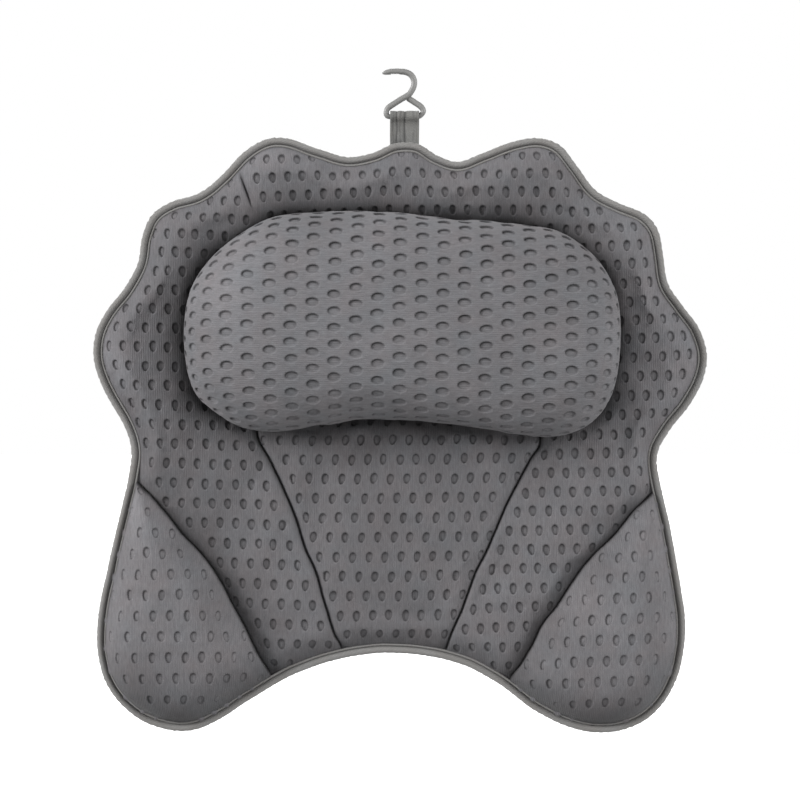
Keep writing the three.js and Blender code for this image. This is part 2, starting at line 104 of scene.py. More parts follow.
SEAM_CENTRE = [
    [-35.4, -173.0], [-43.1, -149.2], [-47.4, -140.7], [-54.5, -118.1], [-60.8, -96.2], [-67.9, -80.6],
    [-74.3, -60.1], [-81.3, -42.4], [-92.6, -18.4], [-102.5, 2.1], [-96.0, 28.0], [-58.0, 46.0],
    [0.0, 52.0], [52.0, 44.0], [90.0, 24.0], [99.0, -2.8], [91.9, -17.0], [84.2, -31.1],
    [74.3, -50.2], [67.2, -67.2], [60.1, -83.4], [52.3, -99.0], [43.8, -122.3], [37.5, -136.5],
    [33.2, -148.5], [26.0, -173.0],
]
SEAM_WING_LEFT = [
    [-209.4, -12.0], [-183.9, -36.8], [-177.5, -42.4], [-164.8, -57.3], [-154.9, -70.0], [-140.7, -84.9],
    [-128.7, -101.8], [-119.5, -119.5], [-110.3, -136.5], [-103.3, -151.3], [-95.5, -165.5], [-83.4, -187.4],
]
SEAM_WING_RIGHT = [
    [199.0, -22.0], [173.3, -46.0], [165.5, -53.0], [156.3, -64.4], [149.2, -72.8], [137.9, -83.4],
    [129.4, -93.3], [120.2, -106.1], [110.3, -120.9], [100.4, -133.7], [93.4, -147.8], [85.6, -161.2],
    [79.9, -169.7], [66.0, -192.0],
]
HEAD_OUTLINE = [
    [-150.0, 73.1], [-147.2, 95.2], [-140.3, 111.1], [-128.6, 125.6], [-114.1, 137.4], [-94.0, 149.2],
    [-76.7, 153.3], [-54.6, 154.7], [-29.7, 155.4], [-3.5, 154.4], [28.4, 151.3], [57.4, 148.5],
    [86.4, 145.7], [104.4, 143.0], [118.9, 136.1], [133.5, 124.3], [143.1, 111.1], [149.4, 96.6],
    [151.4, 80.7], [151.4, 64.1], [150.0, 46.8], [146.6, 30.9], [138.9, 16.3], [127.2, 6.0],
    [112.7, 0.5], [98.1, -0.9], [80.8, 0.5], [57.4, 3.9], [28.4, 7.4], [-0.7, 10.2],
    [-29.7, 10.5], [-47.0, 7.4], [-65.0, 5.0], [-83.6, 2.9], [-99.5, 3.3], [-114.1, 7.4],
    [-128.6, 16.3], [-140.3, 26.7], [-146.5, 39.9], [-149.3, 57.2],
]
CUPS = [(-95, 150), (95, 150), (-150, 42), (150, 42), (-135, -140), (132, -140)]
BACK_START, BACK_END = 21.0, 23.4
FLANGE_START, FLANGE_END = 23.7, 27.0
FABRIC = 2.4                                  # thickness of the spacer mesh fabric
EDGE_INSET = 1.3
LIP = 6.4                                     # inner edge of the binding
PANEL_TOP = 37.7
WING_TOP = 60.5

rng = np.random.default_rng(20)


# ==================================================================== plane geometry
def catmull(points, per=12, closed=True):
    """Uniform Catmull-Rom curve through the points, `per` steps a span."""
    p = np.array(points, float)
    n = len(p)
    t = (np.arange(per) / per)[:, None]
    out = []
    for i in range(n if closed else n - 1):
        p1, p2 = p[i], p[(i + 1) % n]
        p0 = p[i - 1] if (closed or i) else 2 * p1 - p2
        p3 = p[(i + 2) % n] if (closed or i + 2 < n) else 2 * p2 - p1
        out.append(0.5 * (2 * p1 + (p2 - p0) * t + (2 * p0 - 5 * p1 + 4 * p2 - p3) * t**2
                          + (3 * p1 - p0 - 3 * p2 + p3) * t**3))
    out = np.vstack(out)
    return out if closed else np.vstack([out, p[-1:]])


def resample(p, step, closed=True, count=None):
    q = np.vstack([p, p[:1]]) if closed else p
    s = np.r_[0, np.cumsum(np.sqrt((np.diff(q, axis=0) ** 2).sum(1)))]
    n = count or max(3, int(round(s[-1] / step)))
    t = np.linspace(0, s[-1], n + 1)
    if closed:
        t = t[:-1]
    return np.stack([np.interp(t, s, q[:, k]) for k in range(q.shape[1])], 1)


def inward(p):
    """Unit normals of a counter-clockwise loop, towards its inside."""
    d = np.roll(p, -1, 0) - np.roll(p, 1, 0)
    d /= np.sqrt((d**2).sum(1))[:, None]
    return np.stack([-d[:, 1], d[:, 0]], 1)


def left_of(p):
    """Unit normals of an open line, to its left."""
    d = np.gradient(p, axis=0)
    d /= np.sqrt((d**2).sum(1))[:, None]
    return np.stack([-d[:, 1], d[:, 0]], 1)


def inside(pts, poly):
    x, y = pts[:, 0], pts[:, 1]
    c = np.zeros(len(pts), bool)
    x1, y1 = poly[:, 0], poly[:, 1]
    x2, y2 = np.roll(x1, -1), np.roll(y1, -1)
    for a, b, e, f in zip(x1, y1, x2, y2):
        m = (b > y) != (f > y)
        if m.any():
            c[m] ^= x[m] < (e - a) * (y[m] - b) / (f - b) + a
    return c


class Near:
    """Nearest point of a set of lines that are sampled finely."""

    def __init__(self, *lines):
        self.p = np.vstack(lines)
        self.kd = kdtree.KDTree(len(self.p))
        for i, (x, y) in enumerate(self.p):
            self.kd.insert((x, y, 0.0), i)
        self.kd.balance()

    def __call__(self, pts):
        d = np.empty(len(pts))
        k = np.empty(len(pts), int)
        for n, (x, y) in enumerate(pts):
            _, k[n], d[n] = self.kd.find((x, y, 0.0))
        return d, k


def soft_distance(pts, line, near, blend=(2.0, 6.0)):
    """Distance to a line that is exact close to it and has no ridges far from it."""
    seg = np.roll(line, -1, 0) - line
    mid, ds = line + seg / 2, np.sqrt((seg**2).sum(1))
    keep = ds < 12
    mid, ds = mid[keep], ds[keep]
    out = np.empty(len(pts))
    for a in range(0, len(pts), 4000):
        b = pts[a:a + 4000]
        r2 = ((b[:, None, :] - mid[None]) ** 2).sum(2) + 1e-6
        out[a:a + 4000] = (0.5 * (ds[None] * r2**-1.5).sum(1)) ** -0.5
    d = near(pts)[0]
    w = np.clip((d - blend[0]) / (blend[1] - blend[0]), 0, 1)
    w = w * w * (3 - 2 * w)
    return d * (1 - w) + out * w


def triangulate(points, loops=(), lines=()):
    """Delaunay triangles of the points, with the loops and open lines as edges. Loops and lines are arrays of points."""
    verts = [Vector((x, y)) for x, y in points]
    edges = []
    for p in loops:
        k = len(verts)
        verts += [Vector((x, y)) for x, y in p]
        edges += [(k + i, k + (i + 1) % len(p)) for i in range(len(p))]
    for p in lines:
        k = len(verts)
        verts += [Vector((x, y)) for x, y in p]
        edges += [(k + i, k + i + 1) for i in range(len(p) - 1)]
    out = delaunay_2d_cdt(verts, edges, [], 0, 1e-4, False)
    v = np.array([(p.x, p.y) for p in out[0]])
    t = np.array([f for f in out[2] if len(f) == 3], int)
    a, b, c = v[t[:, 0]], v[t[:, 1]], v[t[:, 2]]
    area = (b[:, 0] - a[:, 0]) * (c[:, 1] - a[:, 1]) - (b[:, 1] - a[:, 1]) * (c[:, 0] - a[:, 0])
    t = t[np.abs(area) > 1e-7]
    area = area[np.abs(area) > 1e-7]
    t[area < 0] = t[area < 0][:, ::-1]
    return v, t


def hex_points(lo, hi, pitch):
    rows = np.arange(lo[1], hi[1], pitch * 0.866)
    out = [np.stack([np.arange(lo[0] + (k % 2) * pitch / 2, hi[0], pitch),
                     np.full(len(np.arange(lo[0] + (k % 2) * pitch / 2, hi[0], pitch)), z)], 1)
           for k, z in enumerate(rows)]
    return np.vstack(out)


# the outline, its insets and the sewn lines, all sampled finely
VIEW_CENTRE = np.array([CAM_X, CAM_Z])
EDGE_SCALE = 1.0075                            # the edge lies 10 mm behind the measuring plane
outline = resample((catmull(BODY_OUTLINE) - VIEW_CENTRE) * EDGE_SCALE + VIEW_CENTRE, 1.0)
outline_in = inward(outline)


def inset(distance, step=None):
    p = outline + outline_in * distance
    return resample(p, step) if step else p


seam_c = resample(catmull(SEAM_CENTRE, closed=False), 1.0, closed=False)
seam_l = resample(catmull(SEAM_WING_LEFT, closed=False), 1.0, closed=False)
seam_r = resample(catmull(SEAM_WING_RIGHT, closed=False), 1.0, closed=False)
region_c = seam_c
region_l = np.vstack([seam_l, [[-83.4, -260.0], [-280.0, -260.0], [-280.0, -12.0]]])
region_r = np.vstack([seam_r, [[66.0, -260.0], [270.0, -260.0], [270.0, -22.0]]])
lip_loop = inset(LIP)
edge_loop = inset(EDGE_INSET)


def panel_of(pts):
    """0 crown, 1 centre, 2 left wing, 3 right wing."""
    out = np.zeros(len(pts), int)
    out[inside(pts, region_c)] = 1
    out[inside(pts, region_l)] = 2
    out[inside(pts, region_r)] = 3
    return out


# ========================================================================== dimples
# Rows of sewn-in ovals. Each lattice is a base point, two steps and the terms of a
# slow bend of the cloth, all in photo pixels; node (i, j) is base + i*u + j*v + bend.
LATTICES = {
    "centre": (2, [403.11, 516.55], [16.10, -0.25], [6.77, 19.47],
               [[-.043, .168], [-.931, -1.199], [2.618, 2.102], [-.134, 1.181], [-.789, -2.282], [-1.966, -1.848]]),
    "wing_left": (2, [177.28, 636.17], [16.56, 0.0], [7.57, 20.79],
                  [[-.135, -.399], [.648, .41], [-.551, .709], [1.089, -1.414], [-.066, -.398], [-.324, .339]]),
    "wing_right": (2, [631.53, 639.44], [15.89, -0.62], [7.23, 20.2],
                   [[-.38, -1.009], [1.335, 1.572], [.592, .198], [2.409, -.398], [-.447, -.241], [.248, .273]]),
    "crown_left": (3, [235.39, 523.65], [15.05, 0.82], [7.61, 19.55],
                   [[-.309, -.657], [-.561, 2.934], [1.223, 2.653], [.203, .233], [4.305, -2.809],
                    [3.284, 1.07], [-2.556, .788], [.162, .043], [-.009, -1.392], [.071, .879]]),
    "crown_topleft": (2, [308.02, 194.26], [14.95, -0.73], [5.94, 18.55],
                      [[.06, -.179], [.195, .164], [-.029, -.001], [.174, -.01], [.011, .009], [-.315, -.214]]),
    "crown_topright": (2, [521.12, 191.65], [15.18, 0.07], [7.11, 18.47],
                       [[-.022, -.423], [.022, .484], [-.111, .028], [.561, .304], [.292, .075], [.494, .048]]),
    "crown_right": (3, [560.59, 548.5], [14.88, -0.47], [6.17, 18.69],
                    [[.566, -.482], [2.964, 1.336], [.626, 1.382], [-1.392, -.144], [3.555, .903],
                     [.055, -1.48], [-.621, -.311], [-1.119, .255], [1.36, 1.0], [-.869, -1.628]]),
}
LATTICE_AREA = {                               # where each lattice is used, in photo pixels
    "centre": lambda x, y: np.ones(len(x), bool),
    "wing_left": lambda x, y: np.ones(len(x), bool),
    "wing_right": lambda x, y: np.ones(len(x), bool),
    "crown_left": lambda x, y: ((x < 247) | (y > 430)) & (x < 350),
    "crown_topleft": lambda x, y: (x >= 247) & (x < 402) & (y < 260),
    "crown_topright": lambda x, y: (x >= 402) & (x < 572) & (y < 260),
    "crown_right": lambda x, y: ((x >= 572) | (y > 430)) & (x > 450),
}


def to_plane(px, depth):
    k = PX * (CAM_DIST - (depth - PLANE)) / CAM_DIST
    return np.stack([CAM_X + (px[:, 0] - 400) * k, CAM_Z + (400 - px[:, 1]) * k], 1)


def terms(deg, i, j):
    return np.stack([i**p * j**r for p in range(deg + 1) for r in range(deg + 1 - p)], 1)


def lattice_nodes(name):
    deg, base, u, v, bend = LATTICES[name]
    i, j = [g.ravel().astype(float) for g in np.meshgrid(np.arange(-34, 35), np.arange(-34, 35))]
    b = terms(deg, i / 10, j / 10) @ np.array(bend)
    p = np.array(base) + i[:, None] * u + j[:, None] * v + b + np.array([0.5, 1.0])
    ok = (np.hypot(b[:, 0], b[:, 1]) < 14) & LATTICE_AREA[name](p[:, 0], p[:, 1])
    return p[ok]


HOLE = {"a": 2.4, "b": 3.75}


class Dimples:
    """Ovals in the plane. Each row: x, z, half width, half height, lean, squeeze direction x, z, squeeze."""

    def __init__(self, rows, drop=0.16):
        self.r = np.array(rows, float)
        self.drop = drop
        self.kd = kdtree.KDTree(len(self.r))
        for i, h in enumerate(self.r):
            self.kd.insert((h[0], h[1], 0.0), i)
        self.kd.balance()

    def ring(self, k, rho, n, turn=0.0):
        x, z, a, b, lean, gx, gz, sq = self.r[k]
        t = np.arange(n) / n * 2 * math.pi + turn
        v = b * rho * np.sin(t)
        u = a * rho * np.cos(t) * (1 + self.drop * rho * np.sin(t))
        p = np.stack([u * math.cos(lean) - v * math.sin(lean), u * math.sin(lean) + v * math.cos(lean)], 1)
        g = p @ np.array([gx, gz])
        p += np.outer(g * (sq - 1), [gx, gz])
        return p + [x, z]

    def rho(self, pts, reach=14.0):
        """Distance from the nearest oval's middle, as a share of its size, and which oval."""
        out = np.full(len(pts), 9.0)
        which = np.full(len(pts), -1)
        cand = np.full((len(pts), 3), -1)
        for n, (x, y) in enumerate(pts):
            for m, (_, i, d) in enumerate(self.kd.find_n((x, y, 0.0), 3)):
                if d < reach:
                    cand[n, m] = i
        for m in range(3):
            ok = cand[:, m] >= 0
            h = self.r[cand[ok, m]]
            d = pts[ok] - h[:, :2]
            g = (d * h[:, 5:7]).sum(1)
            d = d + (g * (1 / h[:, 7] - 1))[:, None] * h[:, 5:7]
            c, s = np.cos(h[:, 4]), np.sin(h[:, 4])
            u = d[:, 0] * c + d[:, 1] * s
            v = -d[:, 0] * s + d[:, 1] * c
            vb = v / h[:, 3]
            r = np.sqrt((u / (h[:, 2] * (1 + self.drop * np.clip(vb, -1.3, 1.3)))) ** 2 + vb**2)
            idx = np.where(ok)[0]
            better = r < out[idx]
            out[idx[better]] = r[better]
            which[idx[better]] = cand[idx[better], m]
        return out, which


PIT_RHO = [0.0, 0.45, 0.76, 0.87, 0.94, 1.0, 1.06, 1.14, 1.34]
PIT_DEPTH = [-1.12, -1.20, -1.26, -1.14, -0.66, -0.10, 0.06, 0.10, 0.0]


def pit_and_painted_shade(dimples, pts, deep=1.0, floor=0.2, lean=(-0.9, 0.45), rim=0.5, ring=0.24):
    """Depth and darkening at points near the dimples. floor sets how dark the floor is drawn; the ring gets painted
    shade, darkest on the side that lean points to, and a painted highlight lies on the rim across from it."""
    rho, which = dimples.rho(pts)
    d = pts - dimples.r[which, :2]
    side = (d @ np.array(lean)) / np.maximum(np.sqrt((d**2).sum(1)), 1e-6) / math.hypot(*lean)
    side = np.where(which >= 0, side, 0)
    level = 0.10 * np.sin(which * 12.99 + dimples.r[which, 0]) * (which >= 0)
    shade = np.interp(rho, PIT_RHO, [floor - 0.03, floor, floor + 0.28 * ring, ring, ring, 0.36 * ring, 0.0, 0.0, 0.0])
    shade = shade + level * np.interp(rho, [0.8, 1.05], [1.0, 0.0])
    # painted shade: the ring is darkest on the side that lean points to
    shade = shade + rim * np.clip(side + 0.25, 0, 1) ** 0.7 * np.exp(-(np.abs(rho - 0.90) / 0.16) ** 3)
    # painted highlight on the rim across from it
    shade = shade - 0.28 * np.clip(-side, 0, 1) * np.exp(-((rho - 1.11) / 0.10) ** 2)
    return np.interp(rho, PIT_RHO, PIT_DEPTH) * deep, shade


def ring_points(dimples, wanted=None, fine=16):
    out = []
    for k in range(len(dimples.r)):
        if wanted is not None and not wanted[k]:
            continue
        for rho, n, turn in ((1.34, fine, 0.0), (1.13, fine, math.pi / fine), (1.0, fine, 0.0),
                             (0.88, fine, math.pi / fine), (0.74, fine, 0.0), (0.45, 6, 0.0)):
            out.append(dimples.ring(k, rho, n, turn))
        out.append(dimples.r[k:k + 1, :2])
    return np.vstack(out)


# ========================================================= the cushion's outline
head_loop = resample(catmull(HEAD_OUTLINE), 1.0)
if (head_loop[:, 0] * np.roll(head_loop[:, 1], -1) - np.roll(head_loop[:, 0], -1) * head_loop[:, 1]).sum() < 0:
    head_loop = head_loop[::-1].copy()
for _ in range(30):
    head_loop = 0.5 * head_loop + 0.25 * (np.roll(head_loop, 1, 0) + np.roll(head_loop, -1, 0))
HEAD_ROUND = 28.0                              # width of the rounded edge, seen from the front
sewn_loop = head_loop + inward(head_loop) * 7.5            # where it is sewn on
near_sewn = Near(resample(sewn_loop, 0.7))
near_head = Near(resample(head_loop, 0.7))
GROOVE = 6.2                                   # the body cloth dips this far beside the cushion


# ============================================================= height of the front
WAVES = [(math.cos(a) / w, math.sin(a) / w, p, s) for a, w, p, s in
         [(0.3, 9.0, 1.0, 0.30), (1.9, 13.0, 2.2, 0.34), (2.7, 7.5, 0.4, 0.16), (1.1, 17.0, 4.1, 0.42),
          (0.8, 6.1, 5.0, 0.10), (2.2, 21.0, 3.3, 0.4)]]


def undulation(pts):
    out = np.zeros(len(pts))
    for kx, kz, phase, size in WAVES:
        out += size * np.sin(pts[:, 0] * kx + pts[:, 1] * kz + phase)
    return out


def rise(t, power=2.4):
    return 1 - (1 - np.clip(t, 0, 1)) ** power


visible_c = seam_c[(seam_c[:, 1] < 8)]
near_lip = Near(resample(lip_loop, 0.5))
near_edge = Near(resample(edge_loop, 0.5))
near_c = Near(resample(seam_c, 0.5, closed=False))
near_l = Near(resample(seam_l, 0.5, closed=False))
near_r = Near(resample(seam_r, 0.5, closed=False))
lip_line = resample(lip_loop, 2.0)


def wing_loop(seam, region, loop):
    """Outline of a wing inside the binding, counter-clockwise, for its distance field."""
    inner = loop[inside(loop, region)]
    k = int(np.argmax(np.sqrt((np.diff(inner, axis=0) ** 2).sum(1)))) if len(inner) > 1 else 0
    if np.sqrt(((inner[k + 1] - inner[k]) ** 2).sum()) > 8:
        inner = np.roll(inner, -(k + 1), 0)
    s = seam[inside(seam, loop)]
    if ((s[0] - inner[-1]) ** 2).sum() > ((s[-1] - inner[-1]) ** 2).sum():
        s = s[::-1]
    return resample(np.vstack([inner, s]), 2.0)


wing_l = wing_loop(seam_l, region_l, lip_loop)
wing_r = wing_loop(seam_r, region_r, lip_loop)
near_wing = {2: Near(resample(wing_l, 0.5)), 3: Near(resample(wing_r, 0.5))}
wing_line = {2: wing_l, 3: wing_r}
near_seam = {2: near_l, 3: near_r}
_grid = {k: hex_points(w.min(0), w.max(0), 6.0) for k, w in wing_line.items()}
wing_max = {}
for _k, _g in _grid.items():
    _g = _g[inside(_g, wing_line[_k])]
    wing_max[_k] = soft_distance(_g, wing_line[_k], near_wing[_k]).max()

# a short soft fold in the upper left lobe
FOLD = np.array([[-113.5, 184.5], [-105.5, 160.0]])


def fold_place(pts):
    """Distance from the fold, and where along it."""
    a, b = FOLD
    d = b - a
    t = np.clip(((pts - a) @ d) / (d @ d), 0, 1)
    return np.sqrt(((pts - a - t[:, None] * d) ** 2).sum(1)), t


def fold_dip(pts):
    a, b = FOLD
    d = b - a
    t = np.clip(((pts - a) @ d) / (d @ d), 0, 1)
    r = np.sqrt(((pts - a - t[:, None] * d) ** 2).sum(1))
    side = ((pts - a) @ np.array([-d[1], d[0]])) / np.sqrt(d @ d)
    along = np.sin(np.clip(t, 0.02, 0.98) * math.pi) ** 0.5
    return along * (-2.1 * np.exp(-(r / 0.9) ** 2) + 0.9 * np.exp(-((side + 3.2) / 2.4) ** 2) * (r < 9))


TRENCH = 4.6
lip_fine = resample(lip_loop, 0.5)
# this mask weights the painted shade on the edges that face down
lip_down = np.clip(inward(lip_fine)[:, 1], 0, 1)           # 1 where the edge faces down


def gathers(pts, d_lip):
    """Short gathers of the cloth where it runs under the binding."""
    _, k = near_lip(pts)
    s = k * 0.5
    w = np.clip(0.55 * np.sin(s / 1.13 + 1.7 * np.sin(s / 9.1)) + 0.45 * np.sin(s / 1.9 + 2.0 * np.sin(s / 17.0)), -0.2, 1)
    return w * (0.35 + 0.65 * np.clip(np.sin(s / 23.0 + 0.8), 0, 1)) * np.exp(-((d_lip - 1.6) / 2.8) ** 2)



def height(pts, panel):
    """Depth of the outer fabric face at points of one panel, without its dimples."""
    d_lip, _ = near_lip(pts)
    beyond = ~inside(pts, lip_loop)
    wave = undulation(pts)
    if panel in (0, 1):
        dh, _ = near_sewn(pts)
        dh = np.where(inside(pts, sewn_loop), 0, dh)
        D = soft_distance(pts, lip_line, near_lip)
        D[beyond] = 0
        h = FLANGE_END + 0.9 * (~beyond) * np.clip(d_lip / 0.6, 0, 1) + (PANEL_TOP - FLANGE_END - 0.9) * rise(D / 19, 2.3)
        h -= gathers(pts, d_lip) * 0.5
        h += wave * rise(D / 20, 1.5) * (1 - np.exp(-dh / 9))
        h -= GROOVE * dh / 5.0 * np.exp(1 - dh / 5.0)
        dc, kc = near_c(pts)
        hidden = np.clip((pts[:, 1] - 6) / 14, 0, 1)
        vis = 1 - hidden
        if panel == 0:
            h -= vis * (0.9 * (1 - rise(dc / 5, 2)) + TRENCH * np.exp(-(dc / 0.8) ** 2))
            for k, sw in ((2, 15.0), (3, 13.0)):
                dw, _ = near_seam[k](pts)
                h -= 4.6 * (1 - rise(dw / sw, 2.0)) + 1.6 * np.exp(-(dw / 0.6) ** 2)
            h += fold_dip(pts)
        else:
            h -= vis * (2.7 * (1 - rise(dc / 12, 2.2)) + TRENCH * 0.75 * np.exp(-(dc / 0.8) ** 2))
        floor = np.where(beyond, FLANGE_END, FLANGE_END + 0.1)
        return np.maximum(h, floor)
    D = soft_distance(pts, wing_line[panel], near_wing[panel], (3.0, 9.0))
    D[beyond] = 0
    d_seam, _ = near_seam[panel](pts)
    w = d_lip / (d_lip + d_seam + 1e-6)
    base = FLANGE_END + 0.3 + 3.9 * w * np.clip(d_lip / 9, 0, 1)
    t = np.clip(D / wing_max[panel], 0, 1)
    puff = (1 - (1 - t) ** 2.1) ** 0.72
    h = base + (WING_TOP - 30.0) * puff + wave * 0.8 * rise(D / 20, 1.5)
    h += 0.9 * np.exp(-((d_seam - 1.6) / 1.3) ** 2) - 0.9 * np.exp(-((d_seam - 6.0) / 2.6) ** 2)
    h -= 1.2 * np.exp(-(d_seam / 0.5) ** 2) + gathers(pts, d_lip) * 1.1
    h[beyond] = FLANGE_END
    return np.maximum(h, np.where(beyond, FLANGE_END, FLANGE_END + 0.1))


# ========================================================= the cushion's surface
# A point of the cushion's cloth lies in a plane: inside the inner loop the cloth is
# the crowned face, and outside it the distance q runs round the edge to the base.
inner_loop = head_loop + inward(head_loop) * HEAD_ROUND
for _ in range(60):
    inner_loop = 0.5 * inner_loop + 0.25 * (np.roll(inner_loop, 1, 0) + np.roll(inner_loop, -1, 0))
inner_loop = resample(inner_loop, 0.5)
inner_out = -inward(inner_loop)
near_inner = Near(inner_loop)
HEAD_SHELF = 100.0                             # depth where the face turns into the edge
THETA0 = math.radians(14)
EDGE_R = HEAD_ROUND / (1 - math.sin(THETA0))
Q_WIDE = EDGE_R * (math.pi / 2 - THETA0)
_q = np.linspace(0, 110, 1101)
_theta = np.where(_q < Q_WIDE, THETA0 + _q / EDGE_R, math.pi / 2 + np.radians(38) * np.clip((_q - Q_WIDE) / 29, 0, 1.2))
_rho = np.r_[0, np.cumsum(np.cos((_theta[1:] + _theta[:-1]) / 2) * np.diff(_q))]
_dep = HEAD_SHELF - np.r_[0, np.cumsum(np.sin((_theta[1:] + _theta[:-1]) / 2) * np.diff(_q))]
HEAD_BASE = 38.1
Q_MAX = float(np.interp(-HEAD_BASE, -_dep, _q))


def head_surface(pts):
    """[x, z, depth] of points of the cushion's cloth."""
    d, k = near_inner(pts)
    ins = inside(pts, inner_loop)
    D = soft_distance(pts, inner_loop[::4], near_inner)
    q = np.where(ins, 0, d)
    n = (pts - inner_loop[k]) / np.maximum(d, 1e-6)[:, None]
    n = np.where((d > 0.8)[:, None], n, inner_out[k])
    out = np.empty((len(pts), 3))
    rho = np.interp(q, _q, _rho)
    out[:, :2] = np.where(ins[:, None], pts, inner_loop[k] + n * rho[:, None])
    face = HEAD_SHELF + math.tan(THETA0) * 62 * (1 - np.exp(-D / 62))
    out[:, 2] = np.where(ins, face, np.interp(q, _q, _dep))
    w = undulation(out[:, :2] * 0.8 + [40, 15])
    out[:, 2] += w * 0.7 * np.clip((out[:, 2] - 60) / 30, 0, 1)
    return out, q


HEAD_LATTICE = [[13.34, 69.918], [-1.035, -110.701], [1.805, -0.106],
                [144.911, -65.136], [-0.02, 1.691], [-0.734, -2.091]]


# ================================================================== mesh to object
def surface_normals(v, t):
    n = np.cross(v[t[:, 1]] - v[t[:, 0]], v[t[:, 2]] - v[t[:, 0]])
    out = np.zeros_like(v)
    for k in range(3):
        for c in range(3):
            out[:, c] += np.bincount(t[:, k], n[:, c], len(v))
    return out / np.maximum(np.sqrt((out**2).sum(1)), 1e-12)[:, None]


def boundary(t):
    """Directed edges that only one triangle uses."""
    e = np.vstack([t[:, [0, 1]], t[:, [1, 2]], t[:, [2, 0]]])
    key = np.sort(e, 1)
    _, first, count = np.unique(key, axis=0, return_index=True, return_counts=True)
    return e[first[count == 1]]


def loops_of(edges):
    nxt = {}
    for a, b in edges:
        nxt.setdefault(int(a), []).append(int(b))
    out = []
    while nxt:
        start = next(iter(nxt))
        loop = [start]
        while True:
            a = loop[-1]
            b = nxt[a].pop()
            if not nxt[a]:
                del nxt[a]
            if b == start:
                break
            loop.append(b)
        out.append(loop)
    return out


def make(name, verts, faces, attributes=None, smooth=True):
    """Object from points [x, z, depth] in millimetres. Faces are lists, or an array of triangles, seen
    counter-clockwise from the front."""
    v = np.asarray(verts, float)
    co = np.stack([v[:, 0], -v[:, 2], v[:, 1]], 1) * MM
    me = bpy.data.meshes.new(name)
    if isinstance(faces, np.ndarray) and faces.shape[1] == 3:
        me.vertices.add(len(co))
        me.vertices.foreach_set("co", co.astype(np.float32).ravel())
        me.loops.add(len(faces) * 3)
        me.loops.foreach_set("vertex_index", faces.astype(np.int32).ravel())
        me.polygons.add(len(faces))
        me.polygons.foreach_set("loop_start", np.arange(0, len(faces) * 3, 3, dtype=np.int32))
        me.update(calc_edges=True)
    else:
        me.from_pydata([tuple(c) for c in co], [], [tuple(int(i) for i in f) for f in faces])
    me.polygons.foreach_set("use_smooth", np.full(len(me.polygons), smooth))
    for key, value in (attributes or {}).items():
        value = np.asarray(value, np.float32)
        if value.ndim == 1:
            me.attributes.new(key, "FLOAT", "POINT").data.foreach_set("value", value)
        else:
            me.attributes.new(key, "FLOAT_VECTOR", "POINT").data.foreach_set("vector", value.ravel())
    me.validate()
    me.update()
    o = bpy.data.objects.new(name, me)
    scene.collection.objects.link(o)
    return o


def closed_sheet(front, tri, flat, back_of, pitch=6.0, keep=None):
    """Closes a detailed front with a plain back and a wall. front: [x, z, depth] of the vertices, flat: their
    places in the plane, back_of(pts): depth of the back at places in the plane. Returns vertices and triangles."""
    used = np.unique(tri)
    remap = np.full(len(front), -1)
    remap[used] = np.arange(len(used))
    front, flat, tri = front[used], flat[used], remap[tri]
    edges = boundary(tri)
    rims = [np.array(l) for l in loops_of(edges)]
    rims.sort(key=lambda l: -len(l))
    fill = hex_points(flat.min(0), flat.max(0), pitch)
    near_rim = Near(*[flat[l] for l in rims])
    fill = fill[near_rim(fill)[0] > pitch * 0.45]
    v2, t2 = triangulate(fill, loops=[flat[l] for l in rims])
    mid = v2[t2].mean(1)
    ok = inside(mid, flat[rims[0]])
    for l in rims[1:]:
        ok &= ~inside(mid, flat[l])
    t2 = t2[ok]
    back = np.column_stack([v2, back_of(v2)])
    kd = {(round(a, 3), round(b, 3)): i for i, (a, b) in enumerate(v2)}
    n = len(front)
    wall = []
    lookup = {}
    for l in rims:
        for i in l:
            key = (round(flat[i, 0], 3), round(flat[i, 1], 3))
            j = kd.get(key)
            if j is None:
                j = int(np.argmin(((v2 - flat[i]) ** 2).sum(1)))
            lookup[int(i)] = j + n
    for a, b in edges:
        a, b = int(a), int(b)
        wall += [(b, a, lookup[a]), (b, lookup[a], lookup[b])]
    verts = np.vstack([front, back])
    tris = np.vstack([tri, t2[:, ::-1] + n, np.array(wall)])
    return verts, tris, used, len(back)


def flat_based(front, tri, depth):
    """Closes a domed surface with a flat base at a depth, on the dome's own rim."""
    rim_ids = max((np.array(l) for l in loops_of(boundary(tri))), key=len)
    around = front[rim_ids][:, :2]
    fill = hex_points(around.min(0), around.max(0), 9.0)
    fill = fill[inside(fill, around)]
    fill = fill[Near(around)(fill)[0] > 3.5]
    bv, bt = triangulate(fill, loops=[around])
    bt = bt[inside(bv[bt].mean(1), around)]
    lookup = {(round(a, 3), round(b, 3)): n for n, (a, b) in enumerate(bv)}
    ids = np.arange(len(bv)) + len(front)
    for n, r in enumerate(rim_ids):
        at = lookup.get((round(around[n, 0], 3), round(around[n, 1], 3)))
        ids[at if at is not None else int(np.argmin(((bv - around[n]) ** 2).sum(1)))] = r
    base = np.column_stack([bv, np.full(len(bv), depth)])
    return np.vstack([front, base]), np.vstack([tri, ids[bt][:, ::-1]])


